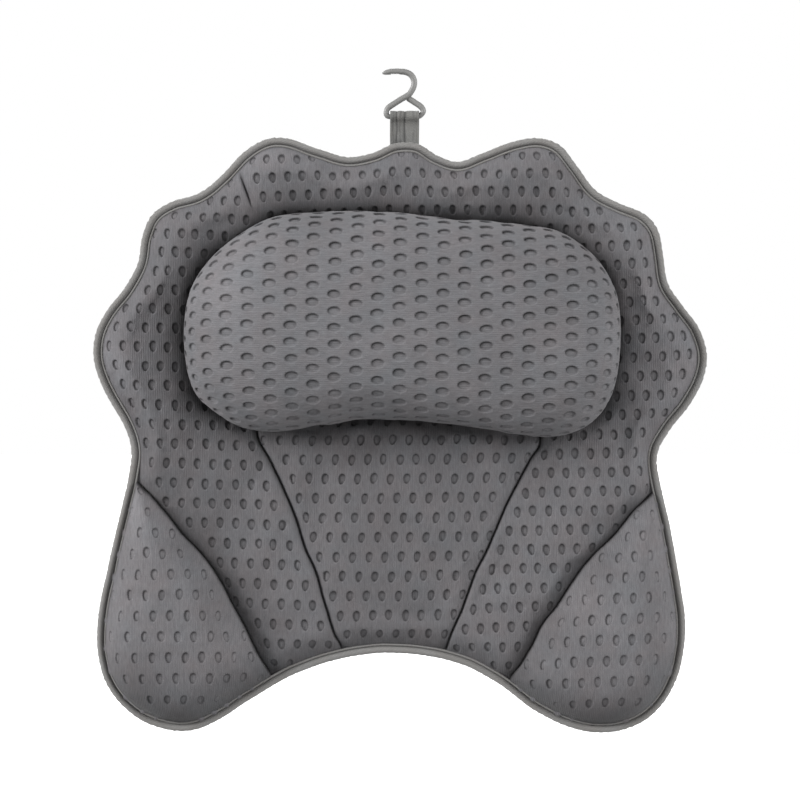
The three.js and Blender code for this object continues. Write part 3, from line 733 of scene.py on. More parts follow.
def inflated(name, surface, tri, pinned, slack=0.035, frames=20, pressure=4.0):
    """Runs Blender's cloth on a coarse sheet that is held at its sewn points and filled from behind, and returns
    how far each point moved, in millimetres."""
    o = make(name, surface, tri)
    hold = o.vertex_groups.new(name="sewn")
    hold.add([int(k) for k in pinned], 1.0, "REPLACE")
    mod = o.modifiers.new("cloth", "CLOTH")
    c = mod.settings
    c.quality = 5
    c.mass = 0.2
    c.tension_stiffness = c.compression_stiffness = 18
    c.shear_stiffness = 8
    c.bending_stiffness = 0.35
    c.vertex_group_mass = "sewn"
    c.shrink_min = -slack
    c.use_pressure = True
    c.uniform_pressure_force = pressure
    c.effector_weights.gravity = 0
    mod.collision_settings.use_collision = False
    mod.point_cache.frame_start = 1
    mod.point_cache.frame_end = frames
    for f in range(1, frames + 1):
        scene.frame_set(f)
    got = o.evaluated_get(bpy.context.evaluated_depsgraph_get()).to_mesh()
    co = np.empty(len(got.vertices) * 3, np.float32)
    got.vertices.foreach_get("co", co)
    co = co.reshape(-1, 3).astype(float) / MM
    mesh = o.data
    bpy.data.objects.remove(o)
    bpy.data.meshes.remove(mesh)
    scene.frame_set(1)
    return np.stack([co[:, 0], co[:, 2], -co[:, 1]], 1) - surface


def spread(at, moved, pts, count=4, power=2.0):
    """Carries a movement known at coarse places over to other places in the same plane."""
    kd = kdtree.KDTree(len(at))
    for i, (x, y) in enumerate(at):
        kd.insert((x, y, 0.0), i)
    kd.balance()
    out = np.empty((len(pts), moved.shape[1]))
    for n, (x, y) in enumerate(pts):
        near = kd.find_n((x, y, 0.0), count)
        w = np.array([1 / (d + 0.6) ** power for _, _, d in near])
        out[n] = (w[:, None] * moved[[i for _, i, _ in near]]).sum(0) / w.sum()
    return out


def wrinkles(at, moved, cap, broad=24.0, keep=0.25):
    """The short folds of a simulated movement, with a share of its broad swelling, limited to cap millimetres."""
    out = np.zeros_like(moved)
    for a in range(0, len(at), 1500):
        d2 = ((at[a:a + 1500, None] - at[None]) ** 2).sum(2)
        w = np.exp(-d2 / (2 * (broad / 2) ** 2))
        out[a:a + 1500] = (w @ moved) / w.sum(1)[:, None]
    fine = moved - out * (1 - keep)
    size = np.sqrt((fine**2).sum(1))
    return fine * np.minimum(1, cap / np.maximum(size, 1e-9))[:, None]


# ========================================================================= materials
def material(name):
    m = bpy.data.materials.new(name)
    m.use_nodes = True
    nt = m.node_tree
    return m, nt, nt.nodes["Principled BSDF"]


def node(nt, kind, **values):
    n = nt.nodes.new(kind)
    inputs = values.pop("inputs", {})
    for k, v in values.items():
        setattr(n, k, v)
    for k, v in inputs.items():
        n.inputs[k].default_value = v
    return n


def ramp(nt, stops):
    n = nt.nodes.new("ShaderNodeValToRGB")
    e = n.color_ramp.elements
    while len(e) > 1:
        e.remove(e[-1])
    e[0].position, e[0].color = stops[0]
    for pos, col in stops[1:]:
        x = e.new(pos)
        x.color = col
    return n


def grey(v, tint=(1, 1, 1)):
    return (v * tint[0], v * tint[1], v * tint[2], 1)


def knit(name, colour, pit_and_shade_dark=0.8, streak=0.13, bump=0.6, sheen=0.03):
    """Spacer mesh: fine wales along the cloth, streaks, heathered yarn, and an attribute that darkens the dimples and
    carries painted shade and painted highlights.
    """
    m, nt, b = material(name)
    L = nt.links
    cloth = node(nt, "ShaderNodeAttribute", attribute_name="cloth")
    pit_and_shade_attr = node(nt, "ShaderNodeAttribute", attribute_name="pit_and_painted_shade")
    # wales: fine ribs every 1.25 mm, a little wavy
    wob = node(nt, "ShaderNodeTexNoise", inputs={"Scale": 0.11, "Detail": 2.0})
    L.new(cloth.outputs["Vector"], wob.inputs["Vector"])
    wobs = node(nt, "ShaderNodeVectorMath", operation="SCALE")
    wobs.inputs["Scale"].default_value = 1.1
    L.new(wob.outputs["Color"], wobs.inputs[0])
    add = node(nt, "ShaderNodeVectorMath", operation="ADD")
    L.new(cloth.outputs["Vector"], add.inputs[0])
    L.new(wobs.outputs[0], add.inputs[1])
    wale = node(nt, "ShaderNodeTexWave", wave_type="BANDS", bands_direction="X", wave_profile="SIN",
                inputs={"Scale": 0.25, "Distortion": 0.6, "Detail": 1.0, "Detail Scale": 1.5})
    L.new(add.outputs[0], wale.inputs["Vector"])
    course = node(nt, "ShaderNodeTexWave", wave_type="BANDS", bands_direction="Y", wave_profile="SIN",
                  inputs={"Scale": 0.36, "Distortion": 0.8, "Detail": 1.0, "Detail Scale": 1.5})
    L.new(add.outputs[0], course.inputs["Vector"])
    stretch = node(nt, "ShaderNodeMapping")
    stretch.inputs["Scale"].default_value = (0.60, 0.16, 1.0)
    L.new(cloth.outputs["Vector"], stretch.inputs["Vector"])
    streaks = node(nt, "ShaderNodeTexNoise", inputs={"Scale": 1.0, "Detail": 3.0, "Roughness": 0.6})
    L.new(stretch.outputs[0], streaks.inputs["Vector"])
    yarn = node(nt, "ShaderNodeTexNoise", inputs={"Scale": 1.9, "Detail": 3.0, "Roughness": 0.7})
    L.new(cloth.outputs["Vector"], yarn.inputs["Vector"])
    broad = node(nt, "ShaderNodeTexNoise", inputs={"Scale": 0.022, "Detail": 2.0})
    L.new(cloth.outputs["Vector"], broad.inputs["Vector"])
    hue = node(nt, "ShaderNodeTexNoise", inputs={"Scale": 0.035, "Detail": 4.0, "Roughness": 0.65})
    L.new(cloth.outputs["Vector"], hue.inputs["Vector"])

    def scaled(src, lo, hi):
        r = node(nt, "ShaderNodeMapRange", inputs={"From Min": 0.3, "From Max": 0.7, "To Min": lo, "To Max": hi})
        L.new(src, r.inputs["Value"])
        return r.outputs[0]

    def times(x, y):
        k = node(nt, "ShaderNodeMath", operation="MULTIPLY")
        L.new(x, k.inputs[0])
        L.new(y, k.inputs[1])
        return k.outputs[0]

    tone = times(scaled(streaks.outputs["Fac"], 1 - streak, 1 + streak), scaled(yarn.outputs["Fac"], 0.84, 1.16))
    tone = times(tone, scaled(broad.outputs["Fac"], 0.93, 1.07))
    wr = node(nt, "ShaderNodeMapRange", inputs={"To Min": 0.945, "To Max": 1.035})
    L.new(wale.outputs["Fac"], wr.inputs["Value"])
    tone = times(tone, wr.outputs[0])
    # the attribute darkens the colour in the dimples and for painted shade, and lightens it where negative, for painted
    # highlights
    pr = node(nt, "ShaderNodeMapRange", clamp=False, inputs={"To Min": 1.0, "To Max": 1.0 - pit_and_shade_dark})
    L.new(pit_and_shade_attr.outputs["Fac"], pr.inputs["Value"])
    tone = times(tone, pr.outputs[0])
    # the dye drifts between a warm and a cool grey
    mixc = node(nt, "ShaderNodeMix", data_type="RGBA")
    mixc.inputs["A"].default_value = (*[c * f for c, f in zip(colour, (1.03, 0.98, 0.985))], 1)
    mixc.inputs["B"].default_value = (*[c * f for c, f in zip(colour, (0.97, 1.0, 1.03))], 1)
    L.new(scaled(hue.outputs["Fac"], 0.0, 1.0), mixc.inputs["Factor"])
    final = node(nt, "ShaderNodeVectorMath", operation="SCALE")
    L.new(mixc.outputs["Result"], final.inputs[0])
    L.new(tone, final.inputs["Scale"])
    L.new(final.outputs[0], b.inputs["Base Color"])
    # relief
    h1 = node(nt, "ShaderNodeMath", operation="MULTIPLY_ADD")
    h1.inputs[1].default_value = 0.6
    L.new(wale.outputs["Fac"], h1.inputs[0])
    h2 = node(nt, "ShaderNodeMath", operation="MULTIPLY")
    h2.inputs[1].default_value = 0.35
    L.new(course.outputs["Fac"], h2.inputs[0])
    L.new(h2.outputs[0], h1.inputs[2])
    h3 = node(nt, "ShaderNodeMath", operation="MULTIPLY_ADD")
    h3.inputs[1].default_value = 0.9
    L.new(yarn.outputs["Fac"], h3.inputs[0])
    L.new(h1.outputs[0], h3.inputs[2])
    bm = node(nt, "ShaderNodeBump", inputs={"Strength": bump, "Distance": 0.00035})
    L.new(h3.outputs[0], bm.inputs["Height"])
    L.new(bm.outputs[0], b.inputs["Normal"])
    rr = node(nt, "ShaderNodeMapRange", inputs={"From Min": 0.3, "From Max": 0.7, "To Min": 0.82, "To Max": 0.96})
    L.new(yarn.outputs["Fac"], rr.inputs["Value"])
    L.new(rr.outputs[0], b.inputs["Roughness"])
    b.inputs["Sheen Weight"].default_value = sheen
    b.inputs["Sheen Roughness"].default_value = 0.45
    b.inputs["Specular IOR Level"].default_value = 0.06
    return m


def woven(name, colour, ribs=(1.1, 0.7), dark=0.18, bump=0.5, rough=(0.7, 0.88), tint=0.04, sheen=0.2, attr="cloth"):
    """Woven tape or webbing: ribs across and along the tape, from the cloth coordinates in millimetres."""
    m, nt, b = material(name)
    L = nt.links
    cloth = node(nt, "ShaderNodeAttribute", attribute_name=attr)
    shade = node(nt, "ShaderNodeAttribute", attribute_name="pit_and_painted_shade")
    along = node(nt, "ShaderNodeTexWave", wave_type="BANDS", bands_direction="X",
                 inputs={"Scale": 0.314 / ribs[0], "Distortion": 0.5, "Detail": 1.0, "Detail Scale": 2.0})
    across = node(nt, "ShaderNodeTexWave", wave_type="BANDS", bands_direction="DIAGONAL",
                  inputs={"Scale": 0.314 / ribs[1], "Distortion": 0.7, "Detail": 1.0, "Detail Scale": 2.0})
    fuzz = node(nt, "ShaderNodeTexNoise", inputs={"Scale": 1.4, "Detail": 4.0, "Roughness": 0.65})
    broad = node(nt, "ShaderNodeTexNoise", inputs={"Scale": 0.05, "Detail": 2.0})
    for t in (along, across, fuzz, broad):
        L.new(cloth.outputs["Vector"], t.inputs["Vector"])
    mul = node(nt, "ShaderNodeMath", operation="MULTIPLY")
    L.new(along.outputs["Fac"], mul.inputs[0])
    L.new(across.outputs["Fac"], mul.inputs[1])
    hmix = node(nt, "ShaderNodeMath", operation="MULTIPLY_ADD")
    hmix.inputs[1].default_value = 0.8
    L.new(fuzz.outputs["Fac"], hmix.inputs[0])
    L.new(mul.outputs[0], hmix.inputs[2])
    bm = node(nt, "ShaderNodeBump", inputs={"Strength": bump, "Distance": 0.0003})
    L.new(hmix.outputs[0], bm.inputs["Height"])
    L.new(bm.outputs[0], b.inputs["Normal"])
    r1 = node(nt, "ShaderNodeMapRange", inputs={"From Min": 0.2, "From Max": 1.3, "To Min": 1 - dark, "To Max": 1.06})
    L.new(hmix.outputs[0], r1.inputs["Value"])
    r2 = node(nt, "ShaderNodeMapRange", inputs={"From Min": 0.3, "From Max": 0.7, "To Min": 0.94, "To Max": 1.06})
    L.new(broad.outputs["Fac"], r2.inputs["Value"])
    # painted shade from the attribute darkens the tape
    r3 = node(nt, "ShaderNodeMapRange", inputs={"To Min": 1.0, "To Max": 0.35})
    L.new(shade.outputs["Fac"], r3.inputs["Value"])
    t1 = node(nt, "ShaderNodeMath", operation="MULTIPLY")
    L.new(r1.outputs[0], t1.inputs[0])
    L.new(r2.outputs[0], t1.inputs[1])
    t2 = node(nt, "ShaderNodeMath", operation="MULTIPLY")
    L.new(t1.outputs[0], t2.inputs[0])
    L.new(r3.outputs[0], t2.inputs[1])
    mixc = node(nt, "ShaderNodeMix", data_type="RGBA")
    mixc.inputs["A"].default_value = (colour[0] * (1 + tint), colour[1], colour[2] * (1 - tint), 1)
    mixc.inputs["B"].default_value = (colour[0] * (1 - tint), colour[1], colour[2] * (1 + tint), 1)
    L.new(broad.outputs["Fac"], mixc.inputs["Factor"])
    final = node(nt, "ShaderNodeVectorMath", operation="SCALE")
    L.new(mixc.outputs["Result"], final.inputs[0])
    L.new(t2.outputs[0], final.inputs["Scale"])
    L.new(final.outputs[0], b.inputs["Base Color"])
    rr = node(nt, "ShaderNodeMapRange", inputs={"From Min": 0.3, "From Max": 0.7, "To Min": rough[0], "To Max": rough[1]})
    L.new(fuzz.outputs["Fac"], rr.inputs["Value"])
    L.new(rr.outputs[0], b.inputs["Roughness"])
    b.inputs["Sheen Weight"].default_value = sheen
    b.inputs["Sheen Roughness"].default_value = 0.4
    b.inputs["Specular IOR Level"].default_value = 0.3
    return m


def moulded(name, colour, rough=(0.3, 0.45), scale=900.0, bump=0.05, metallic=0.0, vary=0.06, distance=0.0002):
    """Moulded plastic or brushed metal: fine grain in colour, roughness and relief, in object space."""
    m, nt, b = material(name)
    L = nt.links
    co = node(nt, "ShaderNodeTexCoord")
    fine = node(nt, "ShaderNodeTexNoise", inputs={"Scale": scale, "Detail": 3.0, "Roughness": 0.6})
    broad = node(nt, "ShaderNodeTexNoise", inputs={"Scale": scale / 9, "Detail": 2.0})
    L.new(co.outputs["Object"], fine.inputs["Vector"])
    L.new(co.outputs["Object"], broad.inputs["Vector"])
    mixc = node(nt, "ShaderNodeMix", data_type="RGBA")
    mixc.inputs["A"].default_value = (*[c * (1 - vary) for c in colour], 1)
    mixc.inputs["B"].default_value = (*[c * (1 + vary) for c in colour], 1)
    L.new(broad.outputs["Fac"], mixc.inputs["Factor"])
    L.new(mixc.outputs["Result"], b.inputs["Base Color"])
    rr = node(nt, "ShaderNodeMapRange", inputs={"From Min": 0.3, "From Max": 0.7, "To Min": rough[0], "To Max": rough[1]})
    L.new(fine.outputs["Fac"], rr.inputs["Value"])
    L.new(rr.outputs[0], b.inputs["Roughness"])
    bm = node(nt, "ShaderNodeBump", inputs={"Strength": bump, "Distance": distance})
    L.new(fine.outputs["Fac"], bm.inputs["Height"])
    L.new(bm.outputs[0], b.inputs["Normal"])
    b.inputs["Metallic"].default_value = metallic
    return m


BODY_GREY = (0.0505, 0.0493, 0.0509)
M_BODY = knit("mesh_fabric", BODY_GREY)
M_CUSHION = knit("cushion_fabric", (0.0530, 0.0523, 0.0541))
M_BACK = knit("rear_mesh_fabric", (0.054, 0.0528, 0.0545))
M_BIND = woven("binding_tape", (0.0650, 0.0629, 0.0607), ribs=(0.9, 1.3), sheen=0.08)
M_STRAP = woven("strap_tape", (0.0555, 0.0550, 0.0525), ribs=(0.8, 1.0), sheen=0.06)
M_TAB = woven("tab_webbing", (0.020, 0.0195, 0.021), ribs=(1.3, 0.9), bump=0.7)
M_THREAD = woven("sewing_thread", (0.048, 0.0465, 0.045), ribs=(0.5, 0.4), dark=0.3, bump=0.6)
M_DARKTHREAD = woven("tab_thread", (0.040, 0.039, 0.041), ribs=(0.5, 0.4), dark=0.3, bump=0.6)
M_HOOK = moulded("hook_plastic", (0.050, 0.0495, 0.0475), rough=(0.50, 0.64))
M_EYELET = moulded("eyelet_metal", (0.62, 0.63, 0.64), rough=(0.24, 0.38), metallic=1.0, bump=0.08)
M_FOAM = moulded("foam", (0.66, 0.63, 0.54), rough=(0.9, 1.0), scale=700.0, bump=0.6, vary=0.12, distance=0.0008)
M_LINING = moulded("lining", (0.05, 0.049, 0.053), rough=(0.85, 0.97), scale=1100.0, bump=0.5, distance=0.0005)

# clear soft vinyl
M_VINYL, _nt, _b = material("cup_vinyl")
_co = node(_nt, "ShaderNodeTexCoord")
_nz = node(_nt, "ShaderNodeTexNoise", inputs={"Scale": 160.0, "Detail": 3.0})
_nt.links.new(_co.outputs["Object"], _nz.inputs["Vector"])
_rr = node(_nt, "ShaderNodeMapRange", inputs={"From Min": 0.3, "From Max": 0.7, "To Min": 0.06, "To Max": 0.20})
_nt.links.new(_nz.outputs["Fac"], _rr.inputs["Value"])
_nt.links.new(_rr.outputs[0], _b.inputs["Roughness"])
_mx = node(_nt, "ShaderNodeMix", data_type="RGBA")
_mx.inputs["A"].default_value = (0.90, 0.94, 0.95, 1)
_mx.inputs["B"].default_value = (0.80, 0.87, 0.89, 1)
_nt.links.new(_nz.outputs["Fac"], _mx.inputs["Factor"])
_nt.links.new(_mx.outputs["Result"], _b.inputs["Base Color"])
_bm = node(_nt, "ShaderNodeBump", inputs={"Strength": 0.06, "Distance": 0.0004})
_nt.links.new(_nz.outputs["Fac"], _bm.inputs["Height"])
_nt.links.new(_bm.outputs[0], _b.inputs["Normal"])
_b.inputs["Transmission Weight"].default_value = 0.85
_b.inputs["IOR"].default_value = 1.48


def finish_piece(o, mat, body="pillow", replaces=()):
    o.data.materials.clear()
    o.data.materials.append(mat)
    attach(o, body)
    if replaces:
        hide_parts(*replaces)
    return o


# ==================================================================== front panels
# painted light and shade: broad lighter and darker spots on the cloth
def painted_light_and_shade(p, spots=((-102, 198, 27, -0.28), (-195, 54, 24, -0.30), (192, 48, 26, -0.30), (95, 178, 40, 0.04), (0, -128, 60, 0.12), (0, -9, 24, -0.22),
                   (50, -12, 26, -0.24), (-42, -8, 20, -0.12), (172, 104, 30, -0.20), (182, 20, 26, -0.10), (-112, 4, 30, 0.28), (-82, 159, 21, 0.26),
                   (72, 160, 20, 0.28), (-176, -62, 20, -0.24), (-190, -40, 20, -0.20), (-129, -117, 18, 0.18), (104, -135, 18, 0.16),
                   (142, -92, 18, 0.18), (-185, -176, 24, 0.20), (188, -165, 20, 0.18), (-193, -30, 16, -0.18), (168, -32, 18, -0.20),
                   (150, -115, 26, -0.08), (0, -50, 56, 0.09), (-146, -36, 24, 0.12), (146, 20, 18, 0.12), (104, -11, 16, 0.14),
                   (62, -53, 18, 0.10), (-87, -158, 14, -0.14))):
    """Broad painted highlights and painted shade, spots where the cloth is drawn lighter or darker: x, z, radius,
    amount.
    """
    return sum(a * np.exp(-((p[:, 0] - x) ** 2 + (p[:, 1] - z) ** 2) / r**2) for x, z, r, a in spots)


head_base_loop = head_loop + inward(head_loop) * 9.0      # where the cushion meets the body
covered = head_loop + inward(head_loop) * 22.0

rows = []
taken = []
for name in LATTICES:
    px = lattice_nodes(name)
    want = {"centre": 1, "wing_left": 2, "wing_right": 3}.get(name, 0)
    p = to_plane(px, 37.0)
    if want in (2, 3):
        for _ in range(3):
            ok = inside(p, lip_loop) & (panel_of(p) == want)
            dep = np.full(len(p), 40.0)
            if ok.any():
                dep[ok] = height(p[ok], want)
            p = to_plane(px, dep)
    ok = inside(p, lip_loop) & (panel_of(p) == want) & ~inside(p, covered)
    p = p[ok]
    ok = near_lip(p)[0] > 1.6
    p = p[ok]
    for q in p:
        if taken and min((q[0] - t[0]) ** 2 + (q[1] - t[1]) ** 2 for t in taken) < 8.0**2:
            continue
        taken.append(q)
        rows.append((q[0], q[1], want))
hole_panel = np.array([r[2] for r in rows])
hole_xy = np.array([r[:2] for r in rows])
seam_gap = np.min([near_c(hole_xy)[0] + 99 * (hole_xy[:, 1] > 8), near_l(hole_xy)[0], near_r(hole_xy)[0]], 0)
ok = (seam_gap > 1.9) & (fold_place(hole_xy)[0] > 3.3)
hole_xy, hole_panel = hole_xy[ok], hole_panel[ok]
table = []
for panel in range(4):
    sel = hole_panel == panel
    p = hole_xy[sel]
    e = 0.8
    gx = (height(p + [e, 0], panel) - height(p - [e, 0], panel)) / (2 * e)
    gz = (height(p + [0, e], panel) - height(p - [0, e], panel)) / (2 * e)
    slope = np.hypot(gx, gz)
    cosa = np.clip(1 / np.sqrt(1 + slope**2), 0.3, 1)
    for k in range(len(p)):
        s = max(slope[k], 1e-6)
        size = 1 + rng.normal() * 0.03
        lean = math.radians({0: 3, 1: -8, 2: -2, 3: -4}[panel] + rng.normal() * 4)
        j = rng.normal(size=2) * 0.22
        table.append([p[k, 0] + j[0], p[k, 1] + j[1], HOLE["a"] * size, HOLE["b"] * (1 + rng.normal() * 0.03), lean,
                      gx[k] / s, gz[k] / s, cosa[k]])
body_dimples = Dimples(table)
print("body dimples", len(table))

points = [ring_points(body_dimples)]
fill = hex_points(outline.min(0), outline.max(0), 4.0)
fill = fill[inside(fill, edge_loop)]
covered_fill = inside(fill, covered)
fill = fill[~covered_fill | (np.arange(len(fill)) % 3 == 0)]
strips = []
for line, nrm in ((seam_c, left_of(seam_c)), (seam_l, left_of(seam_l)), (seam_r, left_of(seam_r))):
    for off in (0.35, 0.8, 1.5, 2.6, 4.2, 6.2):
        for s in (-1, 1):
            strips.append(resample(line + nrm * off * s, 1.6 if off < 2 else 2.4, closed=False))
for off, st in ((0.5, 1.6), (1.2, 1.8), (2.2, 2.0), (3.6, 2.4), (5.4, 2.8)):
    strips.append(inset(LIP + off, st))
fold_n = np.array([FOLD[0, 1] - FOLD[1, 1], FOLD[1, 0] - FOLD[0, 0]])
fold_n /= np.sqrt(fold_n @ fold_n)
for off in (-4.6, -3.4, -2.3, -1.5, -0.9, -0.4, 0.0, 0.4, 0.9, 1.5, 2.3):
    strips.append(FOLD[0] + np.linspace(-0.06, 1.06, 26)[:, None] * (FOLD[1] - FOLD[0]) + fold_n * off)
strips = np.vstack(strips)
strips = strips[inside(strips, lip_loop)]
loose = np.vstack([fill, strips])
loose = loose[body_dimples.rho(loose)[0] > 1.45]
points.append(loose)
points = np.vstack(points)
points = points[inside(points, inset(EDGE_INSET + 0.4))]
cuts = [resample(s, 1.6, closed=False) for s in (seam_c, seam_l, seam_r)]
# loose points too close to a cut line or the lip make slivers
gap = Near(*[resample(c, 0.4, closed=False) for c in cuts], resample(inset(LIP), 0.4))(points)[0]
points = points[gap > 0.22]
flat_v, flat_t = triangulate(points, loops=[inset(EDGE_INSET, 2.0), inset(LIP, 1.6)], lines=cuts)
mid = flat_v[flat_t].mean(1)
flat_t = flat_t[inside(mid, edge_loop)]
tri_panel = panel_of(flat_v[flat_t].mean(1))
sim_p = hex_points(outline.min(0), outline.max(0), 5.2)
sim_p = sim_p[inside(sim_p, lip_loop)]
sim_cuts = [resample(q, 4.5, closed=False) for q in (seam_c, seam_l, seam_r)]
sim_cuts = [q[inside(q, inset(LIP + 0.8))] for q in sim_cuts]
sim_p = sim_p[Near(resample(lip_loop, 0.8), *[resample(q, 0.8, closed=False) for q in sim_cuts])(sim_p)[0] > 2.6]
sim_v, sim_t = triangulate(sim_p, loops=[resample(lip_loop, 4.5)], lines=sim_cuts)
sim_t = sim_t[inside(sim_v[sim_t].mean(1), lip_loop)]
sim_near = near_lip(sim_v)[0]
sim_seam = np.min([near_c(sim_v)[0] + 99 * (sim_v[:, 1] > 12), near_l(sim_v)[0], near_r(sim_v)[0]], 0)
sim_who = panel_of(sim_v)
sim_h = np.zeros(len(sim_v))
for k in range(4):
    sim_h[sim_who == k] = height(sim_v[sim_who == k], k)
sim_sewn = np.where((sim_near < 0.9) | (sim_seam < 0.9) | (inside(sim_v, sewn_loop)))[0]
body_move = inflated("front_sheet", np.column_stack([sim_v, sim_h]), sim_t, sim_sewn)
print("front moved", np.abs(body_move).max(0), np.percentile(np.abs(body_move[:, 2]), [50, 90, 99]))
body_move = wrinkles(sim_v, body_move * 0.6, 1.7)
PANELS = {0: ("crown_panel", 0.45), 1: ("centre_panel", 0.5), 2: ("wing_panel_left", 0.75), 3: ("wing_panel_right", 0.75)}
panel_objects = {}
for panel, (name, fill_level) in PANELS.items():
    t = flat_t[tri_panel == panel]
    used = np.unique(t)
    remap = np.full(len(flat_v), -1)
    remap[used] = np.arange(len(used))
    p2, t = flat_v[used], remap[t]
    edge = near_lip(p2)[0] * inside(p2, lip_loop)
    calm = np.clip(np.where(inside(p2, sewn_loop), 0, near_sewn(p2)[0]) / 5, 0, 1)
    moved = spread(sim_v, body_move, p2) * (np.clip(edge / 3, 0, 1) * calm)[:, None]
    v = np.column_stack([p2, height(p2, panel)]) + moved
    v[:, 2] = np.maximum(v[:, 2], FLANGE_END)
    nrm = surface_normals(v, t)
    seam = near_c(p2)[0] if panel == 1 else (near_seam[panel](p2)[0] if panel > 1 else
                                            np.min([near_c(p2)[0], near_l(p2)[0], near_r(p2)[0]], 0))
    fade = np.clip(edge / 1.2, 0, 1) * np.clip((seam - 0.5) / 1.2, 0, 1)
    # dimple shading: painted shade in the rings, darkest on the side lean points to, and painted highlights on the rims
    # across
    deep, shade = pit_and_painted_shade(body_dimples, p2, (1.0, 1.0, 0.85, 0.85)[panel], (0.04, 0.02, -0.10, -0.10)[panel],
                      ((-0.6, 0.6), (-0.6, 0.6), (-0.9, 0.35), (-0.9, 0.35))[panel], (0.50, 0.45, 0.70, 0.70)[panel],
                      (0.74, 0.72, 0.46, 0.46)[panel])
    # painted shade in the seam gaps
    line = (np.exp(-(seam / 0.75) ** 2) * 1.1) * np.where(p2[:, 1] > 12, 0, 1)
    # painted shade, summed below: along edges that face down, beside the wing seams, on the centre panel and round the
    # cushion, with broad painted light and shade spots
    painted_shading = np.zeros(len(p2))
    d_lip, k_lip = near_lip(p2)
    # painted shade near the binding where the edge faces down, wider and stronger on the wings
    painted_shading += (0.92 if panel > 1 else 0.42) * lip_down[k_lip] * np.exp(-(d_lip / (17.0 if panel > 1 else 9.0)) ** 1.3)
    # broad painted highlights and painted shade
    painted_shading += painted_light_and_shade(p2)
    line = np.where(line > 0.02, line, -1)
    # painted shade along the binding's inner edge
    line = np.maximum(line, np.where((edge > 0) & (edge < 2), 0.75 * np.exp(-(edge / 0.9) ** 2), -1))
    if panel == 0:
        # painted shadow of the wings on the crown beside their seams, wider by the left wing, and a little painted
        # shade beside the centre seam
        painted_shading += 0.52 * np.exp(-near_r(p2)[0] / 11.0) + 0.70 * np.exp(-near_l(p2)[0] / 18.0) + 0.10 * np.exp(-near_c(p2)[0] / 6.0) * (p2[:, 1] < 8)
        # painted shade in the fold's crease
        r_fold, t_fold = fold_place(p2)
        line = np.maximum(line, np.where(r_fold < 2, 0.9 * np.exp(-(r_fold / 0.8) ** 2) * np.sin(np.clip(t_fold, 0.03, 0.97) * math.pi) ** 0.4, -1))
    if panel == 1:
        # painted shade on the centre panel, most near its seam
        painted_shading += 0.06 + 0.08 * np.exp(-seam / 8.0)
    # painted contact shadow round the cushion: wider and stronger at the left and top, weaker towards the bottom and
    # under the cushion's edge
    if panel < 2:
        under = inside(p2, head_loop)
        e = np.where(under, 0, near_head(p2)[0])
        hid = 1 - 0.28 * under * np.clip((near_head(p2)[0] - 1.5) / 6, 0, 1)
        low = np.clip((20 - p2[:, 1]) / 30, 0, 1)
        lit = np.clip((-110 - p2[:, 0]) / 30, 0, 1)
        more = np.maximum(lit, np.clip((p2[:, 1] - 110) / 25, 0, 1)) * (1 - low)
        painted_shading += (1.0 - 0.85 * low) * np.minimum(1 + 0.12 * more, (1.15 + 0.25 * more) * np.exp(-(e / (8.2 - 1.4 * low + 3.0 * lit)) ** 1.3)) * hid
    shade = np.clip(np.maximum(np.minimum(shade * fade, 1) * (1 - painted_shading) + painted_shading, line), -0.45, 1.12)
    flat = np.clip((nrm[:, 2] - 0.45) / 0.35, 0.0, 1)               # no dimples on the steep wall of the groove
    front = v + nrm * (deep * fade * flat)[:, None]
    back = lambda q, panel=panel: np.maximum(
        height(q, panel) + np.minimum(spread(sim_v, body_move, q)[:, 2] * np.clip(near_lip(q)[0] / 3, 0, 1), 0)
        - FABRIC - (2.2 * np.exp(-((near_sewn(q)[0] - 5.0) / 6.0) ** 2) if panel < 2 else 0), FLANGE_START)
    verts, tris, keep, extra = closed_sheet(front, t, p2, back)
    cloth = np.zeros((len(verts), 3))
    cloth[:, :2] = verts[:, :2]
    pit_and_shade_values = np.zeros(len(verts))
    pit_and_shade_values[:len(keep)] = shade[keep]
    o = make(name + "_cover", verts, tris, {"cloth": cloth, "pit_and_painted_shade": pit_and_shade_values})
    finish_piece(o, M_BODY, replaces=(name,))
    panel_objects[panel] = o
    print(name, len(tris))

# ================================================================== head cushion
i, j = [g.ravel().astype(float) for g in np.meshgrid(np.arange(-17, 18), np.arange(-24, 25))]
hp = terms(2, i / 10, j / 10) @ np.array(HEAD_LATTICE)
d, k = near_inner(hp)
outside = ~inside(hp, inner_loop)
hp = hp[~outside | (d < Q_MAX - 3.5)]
d, k = near_inner(hp)
outside = ~inside(hp, inner_loop)
table = []
for n, (x, z) in enumerate(hp):
    table.append([x + rng.normal() * 0.2, z + rng.normal() * 0.2, 4.4 * (1 + rng.normal() * 0.025),
                  2.85 * (1 + rng.normal() * 0.03), math.radians(rng.normal() * 3), 1, 0, 1])
head_dimples = Dimples(table, drop=0.0)
rim = inner_loop[::3] + inner_out[::3] * Q_MAX
for _ in range(8):
    rim = 0.5 * rim + 0.25 * (np.roll(rim, 1, 0) + np.roll(rim, -1, 0))
fill = hex_points(rim.min(0), rim.max(0), 4.4)
fill = fill[head_dimples.rho(fill)[0] > 1.5]
pts = np.vstack([ring_points(head_dimples), fill])
rim_near = Near(resample(rim, 0.5))
pts = pts[inside(pts, rim)]
pts = pts[rim_near(pts)[0] > 0.6]
hv, ht = triangulate(pts, loops=[resample(rim, 2.6)])
ht = ht[inside(hv[ht].mean(1), rim)]
hs, hq = head_surface(hv)
sim_p = hex_points(rim.min(0), rim.max(0), 7.0)
sim_p = sim_p[inside(sim_p, rim)]
sim_p = sim_p[rim_near(sim_p)[0] > 3.0]
sim_v2, sim_t2 = triangulate(sim_p, loops=[resample(rim, 6.0)])
sim_t2 = sim_t2[inside(sim_v2[sim_t2].mean(1), rim)]
